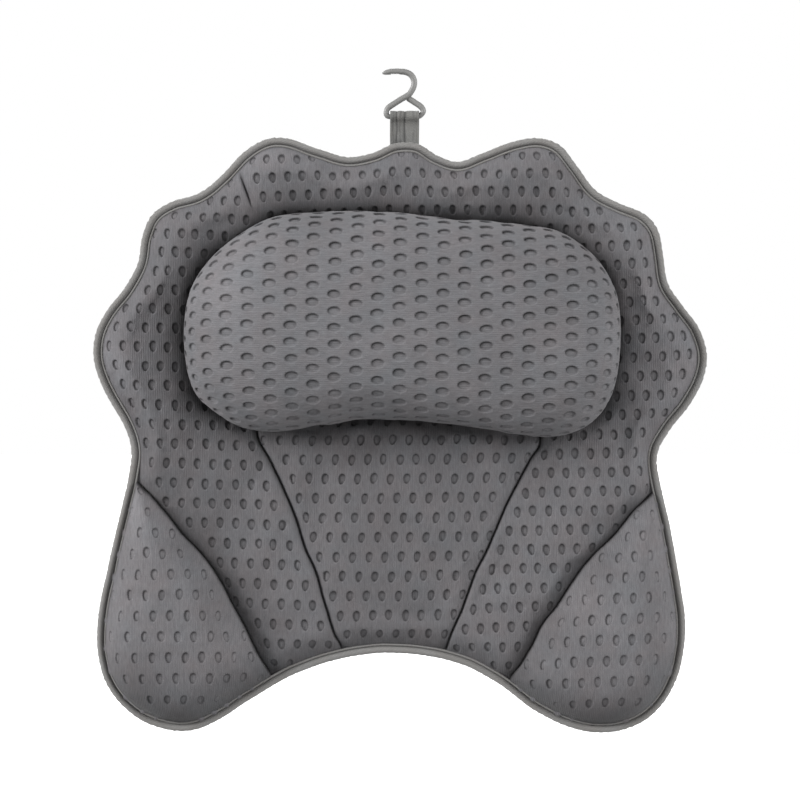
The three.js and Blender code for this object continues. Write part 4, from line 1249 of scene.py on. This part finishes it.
sim_s, sim_q = head_surface(sim_v2)
head_move = inflated("cushion_sheet", sim_s, sim_t2, np.where(sim_q > Q_MAX - 6)[0], slack=0.03)
print("cushion moved", np.abs(head_move).max(0), np.percentile(np.sqrt((head_move**2).sum(1)), [50, 90, 99]))
head_move = wrinkles(sim_v2, head_move * 0.45, 1.4)
hs = hs + spread(sim_v2, head_move, hv) * np.clip((Q_MAX - hq) / 8, 0, 1)[:, None]
hn = surface_normals(hs, ht)
# painted shade in the cushion's dimple rings, darkest at their top, and painted highlights on their lower rims
deep, shade = pit_and_painted_shade(head_dimples, hv, 1.0, -0.02, (-0.3, 0.95), 1.0, 0.22)
fade = np.clip((Q_MAX - hq - 1.0) / 2.0, 0, 1)
hfront = hs + hn * (deep * fade)[:, None]
# broad painted highlights and painted shade: lighter on the cushion's left, darker at its left edge, right side and
# lower edge
head_pit_and_shade = shade * fade + painted_light_and_shade(hs[:, :2], ((-126, 100, 32, -0.28), (-106, 134, 16, -0.20), (-153, 72, 20, 0.18), (84, 100, 56, 0.13), (-60, 152, 30, 0.05), (-118, 8, 20, 0.10), (-60, 20, 22, 0.14),
                                  (-12, 18, 26, 0.14), (44, 18, 26, 0.14), (92, 16, 26, 0.14), (140, 24, 22, 0.16)))
nfront = len(hfront)
verts, tris = flat_based(hfront, ht, HEAD_BASE)
cloth = np.zeros((len(verts), 3))
cloth[:, :2] = verts[:, :2]
cloth[:nfront, 0], cloth[:nfront, 1] = hv[:, 1], hv[:, 0]
cushion = make("head_cushion_cover", verts, tris,
               {"cloth": cloth, "pit_and_painted_shade": np.r_[head_pit_and_shade, np.zeros(len(verts) - nfront)]})
finish_piece(cushion, M_CUSHION, replaces=("head_cover",))
print("cushion", len(tris))

# ================================================================ closed helpers
def oriented(v, t):
    """Turns the triangles of a closed body so that they face outwards."""
    vol = (v[t[:, 0]] * np.cross(v[t[:, 1]], v[t[:, 2]])).sum()
    return (v, t) if vol > 0 else (v, t[:, ::-1].copy())


def skin(rings, wrap=False):
    """Closed body from rings of points. rings: (rings, points, 3). wrap joins the last ring to the first."""
    n, m, _ = rings.shape
    v = rings.reshape(-1, 3)
    i, j = np.meshgrid(np.arange(n if wrap else n - 1), np.arange(m), indexing="ij")
    a, b = i * m + j, i * m + (j + 1) % m
    c, d = (i + 1) % n * m + (j + 1) % m, (i + 1) % n * m + j
    t = np.vstack([np.stack([a, b, c], -1).reshape(-1, 3), np.stack([a, c, d], -1).reshape(-1, 3)])
    if not wrap:
        k = np.arange(m)
        first, last = len(v), len(v) + 1
        v = np.vstack([v, rings[0].mean(0), rings[-1].mean(0)])
        t = np.vstack([t, np.stack([(k + 1) % m, k, np.full(m, first)], 1),
                       np.stack([(n - 1) * m + k, (n - 1) * m + (k + 1) % m, np.full(m, last)], 1)])
    return oriented(v, t)


def slab(flat, tri, upper, lower):
    """Closed body from one triangulation used for an upper and a lower face."""
    n = len(flat)
    e = boundary(tri)
    a, b = e[:, 0], e[:, 1]
    wall = np.vstack([np.stack([b, a, a + n], 1), np.stack([b, a + n, b + n], 1)])
    return np.vstack([upper, lower]), np.vstack([tri, tri[:, ::-1] + n, wall])


def turned(profile, axis_x, axis_z, segments=56, closed=False):
    """Body of revolution about a line along the depth. profile: (radius, depth), from axis to axis, or a closed ring."""
    p = np.array(profile, float)
    a = np.arange(segments) / segments * 2 * math.pi
    if closed:
        rings = np.stack([np.stack([axis_x + r * np.cos(a), axis_z + r * np.sin(a), np.full(segments, d)], 1)
                          for r, d in p])
        return skin(rings, wrap=True)
    inner = p[1:-1]
    rings = np.stack([np.stack([axis_x + r * np.cos(a), axis_z + r * np.sin(a), np.full(segments, d)], 1)
                      for r, d in inner])
    v, t = skin(rings)
    v[-2] = [axis_x, axis_z, p[0, 1]]
    v[-1] = [axis_x, axis_z, p[-1, 1]]
    return oriented(v, t)


STITCH_T = np.array([-1.0, -0.82, -0.45, 0.0, 0.45, 0.82, 1.0])
STITCH_R = np.array([0.35, 0.8, 1.0, 1.05, 1.0, 0.8, 0.35])


def stitches(centres, along, up, length=2.2, radius=0.28, sides=6):
    """One mesh of many thread lumps. centres, along and up: (n, 3); the ends sink into the cloth."""
    n = len(centres)
    side = np.cross(along, up)
    a = np.arange(sides) / sides * 2 * math.pi
    verts, tris = [], []
    ring_v = []
    for t, r in zip(STITCH_T, STITCH_R):
        mid = centres + along * (t * length / 2) - up * (radius * 1.5 * t * t)[..., None] if np.ndim(t) else \
            centres + along * (t * length / 2) - up * (radius * 1.5 * t * t)
        ring_v.append(mid[:, None, :] + radius * r * (np.cos(a)[None, :, None] * side[:, None, :]
                                                     + np.sin(a)[None, :, None] * up[:, None, :]))
    rings = np.stack(ring_v, 1)                           # n, 7, sides, 3
    v0, t0 = skin(rings[0])
    m = rings.shape[1] * sides
    body = rings.reshape(n, m, 3)
    ends = np.stack([rings[:, 0].mean(1), rings[:, -1].mean(1)], 1)
    v = np.concatenate([body, ends], 1)
    t = (t0[None] + (np.arange(n) * (m + 2))[:, None, None]).reshape(-1, 3)
    return v.reshape(-1, 3), t


def plain_cloth(v, scale=1.0):
    return {"cloth": np.asarray(v) * scale, "pit_and_painted_shade": np.zeros(len(v))}


# ======================================================================== binding
b_line = resample(outline, 1.3)
b_in = inward(b_line)
for _ in range(3):
    b_in = b_in + np.roll(b_in, 1, 0) + np.roll(b_in, -1, 0)
    b_in /= np.sqrt((b_in**2).sum(1))[:, None]
b_s = np.r_[0, np.cumsum(np.sqrt((np.diff(np.vstack([b_line, b_line[:1]]), axis=0) ** 2).sum(1)))]
b_len, b_s = b_s[-1], b_s[:-1]
BIND_SECTION = np.array([
    [7.10, 27.5], [7.15, 28.2], [6.95, 28.7], [6.55, 28.95], [6.1, 28.9], [5.7, 28.5], [5.45, 27.95],
    [5.2, 27.75], [4.95, 27.95], [4.7, 28.55], [4.25, 29.1], [3.6, 29.5], [2.8, 29.65], [2.0, 29.5], [1.2, 28.95],
    [0.55, 28.05], [0.15, 26.9], [-0.05, 25.4], [-0.1, 23.9], [0.0, 22.3], [0.25, 20.9], [0.7, 19.8], [1.4, 19.05],
    [2.3, 18.65], [3.2, 18.6], [4.0, 18.85], [4.7, 19.45], [5.2, 19.85], [5.6, 19.7], [6.1, 19.35], [6.7, 19.35],
    [7.0, 19.8], [7.0, 20.6], [6.4, 20.8], [3.8, 20.85], [1.5, 20.9], [1.1, 21.6], [1.05, 24.2], [1.1, 27.0],
    [1.6, 27.25], [4.0, 27.3], [6.4, 27.3],
])
# painted shade in the tape's grooves: at its inner edge, in the front stitch groove and in the rear stitch groove
BIND_SHADE = np.zeros(len(BIND_SECTION))
BIND_SHADE[[0, 6, 7, 8]] = [0.9, 0.75, 1.0, 0.75]
BIND_SHADE[[26, 27, 28]] = [0.6, 0.9, 0.6]
STITCH_PITCH = 3.1
ph = 2 * math.pi * b_s / b_len
slow = sum(a * np.sin(k * ph + p) for k, a, p in ((31, 0.10, 0.3), (47, 0.08, 1.7), (73, 0.07, 2.9), (13, 0.12, 4.4)))
pucker = 0.10 * np.cos(2 * math.pi * b_s / STITCH_PITCH) + 0.07 * np.sin(2 * math.pi * b_s / 4.7 + 1.0)
# short slanting creases of the tape, strongest where the edge bends
turn = np.abs(np.cross(np.roll(b_in, -4, 0), np.roll(b_in, 4, 0)))
for _ in range(4):
    turn = (turn + np.roll(turn, 2) + np.roll(turn, -2)) / 3
bent = 0.35 + np.clip(turn / 0.5, 0, 1)
rings = np.empty((len(b_line), len(BIND_SECTION), 3))
for m, (ins, dep) in enumerate(BIND_SECTION):
    roll_part = math.exp(-((ins - 2.4) / 2.2) ** 2)
    front_side = 1.0 if dep > 24 else -1.0
    free = 1.0 if m < 33 else 0.0
    crease = np.sin(2 * math.pi * b_s / 5.9 + dep * 0.55) + 0.7 * np.sin(2 * math.pi * b_s / 4.3 - dep * 0.35 + 2.0) + 0.5 * np.sin(ph * 37 + dep * 0.2)
    i2 = ins + free * (slow * 0.7 - (pucker * 0.6 if ins < 3 else 0) + (0.20 * bent * np.clip(crease, -1.2, 1.2) if ins < 1.3 else 0))
    d2 = dep + free * front_side * roll_part * (slow + pucker)
    rings[:, m, :2] = b_line + b_in * (i2[:, None] if np.ndim(i2) else i2)
    rings[:, m, 2] = d2
v, t = skin(rings, wrap=True)
sec_s = np.r_[0, np.cumsum(np.sqrt((np.diff(BIND_SECTION, axis=0) ** 2).sum(1)))]
cloth = np.zeros((len(v), 3))
cloth[:, 0] = np.repeat(b_s, len(BIND_SECTION))
cloth[:, 1] = np.tile(sec_s, len(b_line))
binding = make("edge_binding", v, t, {"cloth": cloth, "pit_and_painted_shade": np.tile(BIND_SHADE, len(b_line))})
finish_piece(binding, M_BIND, replaces=("binding",))

n_st = int(b_len / STITCH_PITCH)
st = (np.arange(n_st) + 0.5) * b_len / n_st
idx = np.interp(st, np.r_[b_s, b_len], np.arange(len(b_s) + 1))
i0 = np.floor(idx).astype(int) % len(b_s)
i1, w = (i0 + 1) % len(b_s), (idx - np.floor(idx))[:, None]
sp = b_line[i0] * (1 - w) + b_line[i1] * w
sn = b_in[i0] * (1 - w) + b_in[i1] * w
sn /= np.sqrt((sn**2).sum(1))[:, None]
tan = np.stack([sn[:, 1], -sn[:, 0], np.zeros(n_st)], 1)
for nm, dep, sgn in (("binding_stitches_front", 27.62, 1.0), ("binding_stitches_rear", 19.62, -1.0)):
    c = np.column_stack([sp + sn * 5.2, np.full(n_st, dep)])
    v, t = stitches(c, tan, np.tile([0, 0, sgn], (n_st, 1)), 2.3, 0.25)
    v, t = oriented(v, t)
    o = make(nm, v, t, plain_cloth(v, 2.0))
    finish_piece(o, M_THREAD)

# ===================================================================== rear panel
# Worked out as seen from behind: x and depth change sign.
rear_edge = edge_loop[::-1] * [-1, 1]
rear_edge = resample(rear_edge, 2.4)
near_rear = Near(resample(rear_edge, 0.6))
rows = []
for k in range(-17, 18):
    for m in range(-24, 25):
        rows.append([m * 10.7 + (k * 4.3) % 10.7 + rng.normal() * 0.25, k * 13.1 + 3 + rng.normal() * 0.25])
rows = np.array(rows)
rows = rows[inside(rows, rear_edge)]
rows = rows[near_rear(rows)[0] > 8.6]
rear_dimples = Dimples([[x, z, 2.35 * (1 + rng.normal() * 0.03), 3.6 * (1 + rng.normal() * 0.03),
                         math.radians(rng.normal() * 4), 1, 0, 1] for x, z in rows])
fill = hex_points(rear_edge.min(0), rear_edge.max(0), 4.6)
fill = fill[inside(fill, rear_edge)]
fill = fill[(near_rear(fill)[0] > 2.0)]
fill = fill[rear_dimples.rho(fill)[0] > 1.5]
rear_rings = [resample(rear_edge + inward(rear_edge) * off, 2.4) for off in (4.4, 6.4, 8.4)]
pts = np.vstack([ring_points(rear_dimples, fine=12), fill])
pts = np.vstack([pts] + [r[rear_dimples.rho(r)[0] > 1.45] for r in rear_rings])
rv, rt = triangulate(pts, loops=[rear_edge])
rt = rt[inside(rv[rt].mean(1), rear_edge)]


def rear_height(p):
    d, _ = near_rear(p)
    puffed = rise((d - 4.5) / 16, 2.0)
    return -(22.2 - 0.9 * puffed) + 0.22 * undulation(p * [-1, 1]) * puffed


rh = rear_height(rv)
rfront = np.column_stack([rv, rh])
rn = surface_normals(rfront, rt)
# painted shade in the dimple rings, darkest on their upper side, and painted highlights on their lower rims
deep, shade = pit_and_painted_shade(rear_dimples, rv, 0.90, 0.2, (0.0, 1.0), 0.4)
rfront = rfront + rn * deep[:, None]
verts, tris, keep, extra = closed_sheet(rfront, rt, rv, lambda q: np.full(len(q), -23.45))
cloth = np.zeros((len(verts), 3))
cloth[:, :2] = verts[:, :2]
pit_and_shade_values = np.zeros(len(verts))
pit_and_shade_values[:len(keep)] = shade[keep]
verts[:, 0] *= -1
verts[:, 2] *= -1
rear = make("rear_panel_cover", verts, tris, {"cloth": cloth, "pit_and_painted_shade": pit_and_shade_values})
finish_piece(rear, M_BACK, replaces=("back_panel",))
print("rear", len(tris))

# ========================================================================== foams
def under_fabric(p, clear):
    ids = panel_of(p)
    top = np.full(len(p), 1e9)
    for dx, dz in ((0, 0), (3.2, 0), (-3.2, 0), (0, 3.2), (0, -3.2), (2.3, 2.3), (-2.3, 2.3), (2.3, -2.3), (-2.3, -2.3)):
        q = p + [dx, dz]
        who = panel_of(q)
        for panel in range(4):
            sel = who == panel
            if sel.any():
                top[sel] = np.minimum(top[sel], height(q[sel], panel))
    return top - clear, ids


foam_loop = inset(9.5, 4.0)
fp = hex_points(foam_loop.min(0), foam_loop.max(0), 7.0)
fp = fp[inside(fp, foam_loop)]
fp = fp[Near(foam_loop)(fp)[0] > 3.5]
fv, ft = triangulate(fp, loops=[foam_loop])
ft = ft[inside(fv[ft].mean(1), foam_loop)]
top, _ = under_fabric(fv, FABRIC + 3.2)
top -= 5.5 * np.exp(-((np.where(inside(fv, sewn_loop), -near_sewn(fv)[0], near_sewn(fv)[0]) - 5.5) / 8.0) ** 2)
top = np.clip(top, FLANGE_START + 1.5, 34.0)
v, t = slab(fv, ft, np.column_stack([fv, top]), np.column_stack([fv, np.full(len(fv), FLANGE_START)]))
o = make("base_foam_pad", v, t)
finish_piece(o, M_FOAM, replaces=("base_foam",))
for panel, side in ((2, "left"), (3, "right")):
    w = wing_line[panel]
    g = hex_points(w.min(0), w.max(0), 5.0)
    g = g[inside(g, w)]
    g = g[near_wing[panel](g)[0] > 6.0]
    room = np.full(len(g), 1e9)
    for dx, dz in ((0, 0), (3, 0), (-3, 0), (0, 3), (0, -3)):
        room = np.minimum(room, height(g + [dx, dz], panel))
    g = g[room - FABRIC - 3.2 > 35.6]
    gv, gt = triangulate(g)
    e = gv[gt] - np.roll(gv[gt], 1, 1)
    gt = gt[(np.sqrt((e**2).sum(2)).max(1) < 6.5)]
    top = np.full(len(gv), 1e9)
    for dx, dz in ((0, 0), (2, 0), (-2, 0), (0, 2), (0, -2)):
        top = np.minimum(top, height(gv + [dx, dz], panel))
    top = np.maximum(top - FABRIC - 3.0, 35.2)
    v, t = slab(gv, gt, np.column_stack([gv, top]), np.column_stack([gv, np.full(len(gv), 34.4)]))
    o = make(f"wing_foam_{side}_pad", v, t)
    finish_piece(o, M_FOAM, replaces=(f"wing_foam_{side}",))

# filling of the cushion: the same surface, moved inwards
small = inner_loop[::6] + inner_out[::6] * (Q_MAX - 6)
for _ in range(6):
    small = 0.5 * small + 0.25 * (np.roll(small, 1, 0) + np.roll(small, -1, 0))
small = resample(small, 7.0)
g = hex_points(small.min(0), small.max(0), 8.0)
g = g[inside(g, small)]
g = g[Near(small)(g)[0] > 3.5]
gv, gt = triangulate(g, loops=[small])
gt = gt[inside(gv[gt].mean(1), small)]
gs, _ = head_surface(gv)
gs = gs - surface_normals(gs, gt) * 5.6
v, t = flat_based(gs, gt, 40.2)
o = make("head_foam_pad", v, t)
finish_piece(o, M_FOAM, replaces=("head_foam",))

# ========================================================================== strap
STRAP_X, BAR_Z, STRAP_D = 2.6, 227.6, 18.2
ang = np.radians(np.linspace(-46, 226, 26))
path = np.array([[178, 20.2], [184, 20.2], [190, 20.2], [193.4, 20.1], [196.6, 19.4], [199.8, 18.8], [204, 18.72], [208, 18.71],
                 [212, 18.71], [218, 18.72], [221.5, 18.95], [223.7, 19.7]]
                + [[BAR_Z + 3.55 * math.sin(a), STRAP_D + 3.55 * math.cos(a)] for a in ang]
                + [[223.7, 16.7], [221.5, 17.45], [218, 17.68], [212, 17.69], [208, 17.69], [204, 17.68], [199.4, 17.74],
                   [196.0, 18.3], [193.0, 19.05], [190, 19.18], [184, 19.2], [178, 19.2]])
path = resample(catmull(path, 8, closed=False), 0.55, closed=False)
pn = left_of(path[:, ::-1])[:, ::-1]                     # out of the loop
if pn[3, 1] < 0:
    pn = -pn
HALF_W = 10.4
U = np.r_[np.linspace(-HALF_W, -HALF_W + 1.4, 5), np.linspace(-8.6, -6.3, 8), np.linspace(-6.0, -4.9, 6),
          np.linspace(-4.6, -1.4, 11), np.linspace(-1.1, 1.5, 10), np.linspace(1.9, 8.6, 17), np.linspace(9.0, HALF_W, 5)]
left_half = np.clip((1.0 - U) / 2, 0, 1)


def strap_face(u):
    f = np.full(len(u), 0.48)
    edge = HALF_W - np.abs(u)
    f += 0.16 * np.exp(-((edge - 0.75) / 0.5) ** 2) - 0.30 * np.exp(-(edge / 0.25) ** 2) - 0.10 * np.exp(-((edge - 1.6) / 0.3) ** 2)
    f -= 0.32 * np.exp(-((u + 5.6) / 0.6) ** 2)
    f -= 0.42 * np.exp(-((u - 0.2) / 0.9) ** 2)
    f += 0.10 * np.exp(-((u + 3.3) / 1.2) ** 2) + 0.12 * np.exp(-((u - 4.5) / 2.6) ** 2)
    return f


face = strap_face(U)
rings = np.empty((len(path), 2 * len(U), 3))
ps = np.r_[0, np.cumsum(np.sqrt((np.diff(path, axis=0) ** 2).sum(1)))]
for k in range(len(path)):
    ripple = 0.05 * math.sin(ps[k] * 1.9) + 0.05 * math.sin(ps[k] * 0.7 + 1)
    sway = 0.22 * math.sin(ps[k] * 0.13)
    up = np.outer(face + ripple * 0.5, pn[k])
    lo = np.outer(np.full(len(U), -0.46), pn[k])
    rings[k, :len(U), 0] = STRAP_X + U + sway * 0.5
    rings[k, :len(U), 1] = path[k, 0] + up[:, 0]
    rings[k, :len(U), 2] = path[k, 1] + up[:, 1]
    rings[k, len(U):, 0] = STRAP_X + U[::-1] + sway * 0.5
    rings[k, len(U):, 1] = path[k, 0] + lo[:, 0]
    rings[k, len(U):, 2] = path[k, 1] + lo[:, 1]
v, t = skin(rings)
cl = np.zeros((len(v), 3))
cl[:len(path) * 2 * len(U), 0] = np.repeat(ps, 2 * len(U))
cl[:len(path) * 2 * len(U), 1] = np.tile(np.r_[U, U[::-1]], len(path))
pv = np.zeros(len(v))
# painted shade in the strap's grooves and folds, over its left half and in a spot on the front layer, with narrow
# painted highlights; its inner face is drawn a little darker
for k in range(len(path)):
    s1, s2 = 0.35 * math.sin(ps[k] * 0.33 + 0.5), 0.6 * math.sin(ps[k] * 0.21 + 2.0)
    dark = 0.8 * np.exp(-((U + 5.6 - s1) / 0.6) ** 2) + 0.95 * np.exp(-((U - 0.2 - 0.5 * s2) / (0.85 + 0.25 * math.sin(ps[k] * 0.4))) ** 2)
    dark += 0.35 * np.exp(-((HALF_W - np.abs(U) - 1.65) / 0.35) ** 2) + 0.16 * left_half
    dark += (0.45 + 0.3 * math.sin(ps[k] * 0.5)) * np.exp(-((U + 3.1 - s2) / 0.6) ** 2) + 0.55 * np.exp(-((U + 8.0 + s1) / 0.5) ** 2)
    dark += (0.35 + 0.25 * math.sin(ps[k] * 0.37 + 1)) * np.exp(-((U - 6.2 + s2) / 0.7) ** 2) - 0.3 * np.exp(-((U + 4.3 - s1) / 0.4) ** 2)
    if path[k, 1] > STRAP_D:
        dark += 0.70 * np.exp(-((U + 4.8) / 2.6) ** 2 - ((path[k, 0] - 208.5) / 2.6) ** 2) - 0.22 * np.exp(-((U - 4) / 2) ** 2)
    pv[k * 2 * len(U):(k + 1) * 2 * len(U)] = np.r_[dark, np.full(len(U), 0.2)]
strap = make("hanging_strap", v, t, {"cloth": cl, "pit_and_painted_shade": np.clip(pv, -0.3, 1)})
strap.data.materials.append(M_STRAP)
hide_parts("strap_tail", "strap_loop")
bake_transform(strap)
# a row of stitching that closes the loop below the bar, and a box on the tail
c, al = [], []
for z in (217.2,):
    for u in np.arange(-8.6, 8.7, 2.45):
        c.append([STRAP_X + u, z, 17.06])
        al.append([1, 0, 0])
v, t = stitches(np.array(c), np.array(al, float), np.tile([0, 0, -1.0], (len(c), 1)), 1.9, 0.22)
v, t = oriented(v, t)
o = make("strap_bar_stitches", v, t, plain_cloth(v, 2.0))
finish_piece(o, M_THREAD, body="strap")
c, al = [], []
for z in (181.0, 189.0):
    for u in np.arange(-8.4, 8.5, 2.4):
        c.append([STRAP_X + u, z, 18.60])
        al.append([1, 0, 0])
for u in (-8.9, 8.9):
    for z in np.arange(182.2, 188.5, 2.4):
        c.append([STRAP_X + u, z, 18.60])
        al.append([0, 1, 0])
v, t = stitches(np.array(c), np.array(al, float), np.tile([0, 0, -1.0], (len(c), 1)), 1.9, 0.24)
v, t = oriented(v, t)
o = make("strap_tail_stitches", v, t, plain_cloth(v, 2.0))
finish_piece(o, M_THREAD)

# =========================================================================== hook
HD = STRAP_D
hook_path = np.array([
    (-13.3, 258.4, HD), (-12.0, 258.8, HD), (-7.1, 259.7, HD), (-0.7, 259.8, HD), (3.9, 259.2, HD), (7.4, 257.1, HD), (9.3, 253.4, HD),
    (9.1, 249.4, HD), (7.4, 245.7, HD), (5.0, 242.8, HD), (0.0, 239.9, HD), (-5.2, 236.6, HD), (-9.1, 233.8, HD),
    (-10.5, 231.1, HD), (-10.2, 228.7, HD), (-8.0, BAR_Z, HD), (2.6, BAR_Z, HD), (11.6, BAR_Z, HD), (14.4, 228.9, HD),
    (16.0, 231.5, HD), (14.2, 234.7, HD - 0.4), (9.9, 237.8, HD - 1.1), (4.6, 241.2, HD - 1.4)], float)
hp3 = resample(catmull(hook_path, 12, closed=False), 0.45, closed=False)
tg = np.gradient(hp3, axis=0)
tg /= np.sqrt((tg**2).sum(1))[:, None]
bn = np.tile([0, 0, 1.0], (len(hp3), 1))
nn = np.cross(bn, tg)
nn /= np.sqrt((nn**2).sum(1))[:, None]
bn = np.cross(tg, nn)
hs_ = np.r_[0, np.cumsum(np.sqrt((np.diff(hp3, axis=0) ** 2).sum(1)))]
r = 1.85 * np.interp(hs_, [0, 0.5, 1.2, 2.6, 5.0, hs_[-1] - 1.5, hs_[-1] - 0.4, hs_[-1]], [0.28, 0.5, 0.66, 0.85, 1, 1, 0.9, 0.6])
r *= 1 + 0.14 * np.clip((hp3[:, 1] - 231.5) / 3, 0, 1) * np.clip(hs_ / 8, 0, 1)
SIDES = 20
a = np.arange(SIDES) / SIDES * 2 * math.pi
ridge = 1 + 0.035 * (np.exp(-((np.mod(a, math.pi)) / 0.12) ** 2))
rings = hp3[:, None, :] + (r[:, None, None] * ridge[None, :, None]) * (np.cos(a)[None, :, None] * nn[:, None, :]
                                                                   + np.sin(a)[None, :, None] * bn[:, None, :])
land = (rings[..., 0] > -7.2) & (rings[..., 0] < -1.2) & (rings[..., 1] > 255) & (rings[..., 1] < 258.16)
rings[..., 1] = np.where(land, 258.16, rings[..., 1])
v, t = skin(rings)
o = make("moulded_hook", v, t)
finish_piece(o, M_HOOK, body="hook", replaces=("hook",))

# ================================================================= tabs and cups
CUP_LINE = np.array([
    [0, 8.0], [3, 7.92], [6.5, 7.5], [10, 6.72], [14, 5.4], [18, 3.92], [21, 2.5], [23, 1.44], [24.4, 0.5], [25.4, 0.02],
    [26.6, 0.0], [27.6, 0.02], [28.0, 0.35], [28.0, 0.8], [27.5, 1.25], [26.2, 1.75], [25.6, 2.35], [23.5, 3.6], [22.0, 4.45],
    [21.2, 4.6], [20.6, 5.15], [18.5, 6.35], [16, 7.6], [12, 9.35], [8, 10.55], [5.6, 10.98], [4.4, 11.2], [3.9, 11.8], [3.8, 12.6],
    [3.8, 14.2], [4.1, 14.9], [5.2, 15.15], [6.4, 15.3], [6.8, 15.7], [6.8, 16.9], [6.5, 17.5], [5.6, 18.5], [4.6, 19.3], [3.4, 19.75],
    [1.6, 19.96], [0, 20.0]])
EYELET_LINE = np.array([
    [4.3, 12.4], [4.4, 11.75], [4.8, 11.45], [5.6, 11.35], [6.6, 11.42], [7.4, 11.62], [7.8, 11.85], [7.7, 12.05], [7.0, 12.12],
    [5.4, 12.1], [5.2, 12.4], [5.2, 13.6], [5.4, 13.9], [7.0, 13.88], [7.7, 13.95], [7.8, 14.15], [7.4, 14.38], [6.6, 14.58],
    [5.6, 14.65], [4.8, 14.55], [4.4, 14.25], [4.3, 13.6]])


def tab_depth(x):
    t = np.clip((22 - np.abs(x)) / 10, 0, 1)
    return 20.0 - 7.0 * t * t * (3 - 2 * t)


for n, (cx, cz) in enumerate(CUPS, 1):
    # webbing tab with a punched hole and two sewn boxes
    q = np.linspace(0, math.pi / 2, 5)
    corner = 1.6
    loop = []
    for sx, sz, a0 in ((1, 1, 0), (-1, 1, 1), (-1, -1, 2), (1, -1, 3)):
        for w in q:
            loop.append([sx * (34 - corner) + corner * math.cos(w + a0 * math.pi / 2),
                         sz * (12 - corner) + corner * math.sin(w + a0 * math.pi / 2)])
    loop = resample(np.array(loop), 1.3)
    hole = np.stack([5.5 * np.cos(np.arange(32) / 32 * 2 * math.pi), 5.5 * np.sin(np.arange(32) / 32 * 2 * math.pi)], 1)
    g = hex_points(np.array([-34.0, -12.0]), np.array([34.0, 12.0]), 1.7)
    g = g[inside(g, loop)]
    g = g[(Near(loop)(g)[0] > 0.7) & (np.hypot(g[:, 0], g[:, 1]) > 6.3)]
    tv, tt = triangulate(g, loops=[loop, hole])
    m = tv[tt].mean(1)
    tt = tt[inside(m, loop) & (np.hypot(m[:, 0], m[:, 1]) > 5.45)]
    dep = tab_depth(tv[:, 0])
    slope = (tab_depth(tv[:, 0] + 0.05) - tab_depth(tv[:, 0] - 0.05)) / 0.1
    nx, nd = -slope / np.sqrt(1 + slope**2), 1 / np.sqrt(1 + slope**2)
    edge = Near(loop)(tv)[0]
    half = 0.62 + 0.08 * np.exp(-((edge - 1.2) / 0.8) ** 2) - 0.25 * np.exp(-(edge / 0.35) ** 2)
    # the sewn lines press the webbing down
    ax, az = np.abs(tv[:, 0]), np.abs(tv[:, 1])
    box = np.minimum(np.abs(ax - 24.6), np.abs(ax - 32.0))
    box = np.where(az < 10.4, box, 9)
    half -= 0.16 * np.exp(-(box / 0.7) ** 2)
    up = np.column_stack([cx + tv[:, 0] + nx * half, cz + tv[:, 1], dep + nd * half])
    lo = np.column_stack([cx + tv[:, 0] - nx * half, cz + tv[:, 1], dep - nd * half])
    v, t = slab(tv, tt, up, lo)
    cl = np.vstack([np.column_stack([tv, np.zeros(len(tv))])] * 2)
    o = make(f"webbing_tab_{n}", v, t, {"cloth": cl + n * 7.3, "pit_and_painted_shade": np.zeros(len(v))})
    finish_piece(o, M_TAB, replaces=(f"cup_tab_{n}",))
    c, al = [], []
    for s in (-1, 1):
        for z in (-9.6, 9.6):
            for x in np.arange(25.3, 31.6, 2.1):
                c.append([s * x, z])
                al.append([1, 0])
        for x in (24.6, 32.0):
            for z in np.arange(-8.6, 8.7, 2.15):
                c.append([s * x, z])
                al.append([0, 1])
        for sg in (-1, 1):
            dgn = np.array([7.4, 19.2 * sg])
            L = np.hypot(*dgn)
            for w in np.arange(1.6, L - 1.2, 2.2):
                c.append([s * (24.6 + dgn[0] * w / L), -9.6 * sg + dgn[1] * w / L])
                al.append([s * dgn[0] / L, dgn[1] / L])
    c, al = np.array(c), np.array(al)
    cc = np.column_stack([c + [cx, cz], np.full(len(c), 20 - 0.56)])
    v, t = stitches(cc, np.column_stack([al, np.zeros(len(al))]), np.tile([0, 0, -1.0], (len(c), 1)), 1.7, 0.24, 5)
    v, t = oriented(v, t)
    o = make(f"tab_stitches_{n}", v, t, plain_cloth(v, 2.0))
    finish_piece(o, M_DARKTHREAD)
    v, t = turned(EYELET_LINE, cx, cz, 56, closed=True)
    o = make(f"metal_eyelet_{n}", v, t)
    finish_piece(o, M_EYELET, replaces=(f"eyelet_{n}",))
    v, t = turned(CUP_LINE, cx, cz, 72)
    o = make(f"vinyl_cup_{n}", v, t)
    finish_piece(o, M_VINYL, body=f"cup_{n}", replaces=(f"suction_cup_{n}",))

# carried-over node
for key, mat in (("head_base", M_LINING),):
    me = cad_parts[key].data
    me.materials.clear()
    me.materials.append(mat)

# floor
bpy.ops.mesh.primitive_plane_add(size=40, location=(0, 2.0, -0.62))
floor = bpy.context.object
floor.name = "floor"
fm, fnt, fb = material("floor_paint")
fb.inputs["Base Color"].default_value = (0.58, 0.58, 0.58, 1)
fb.inputs["Roughness"].default_value = 0.9
floor.data.materials.append(fm)
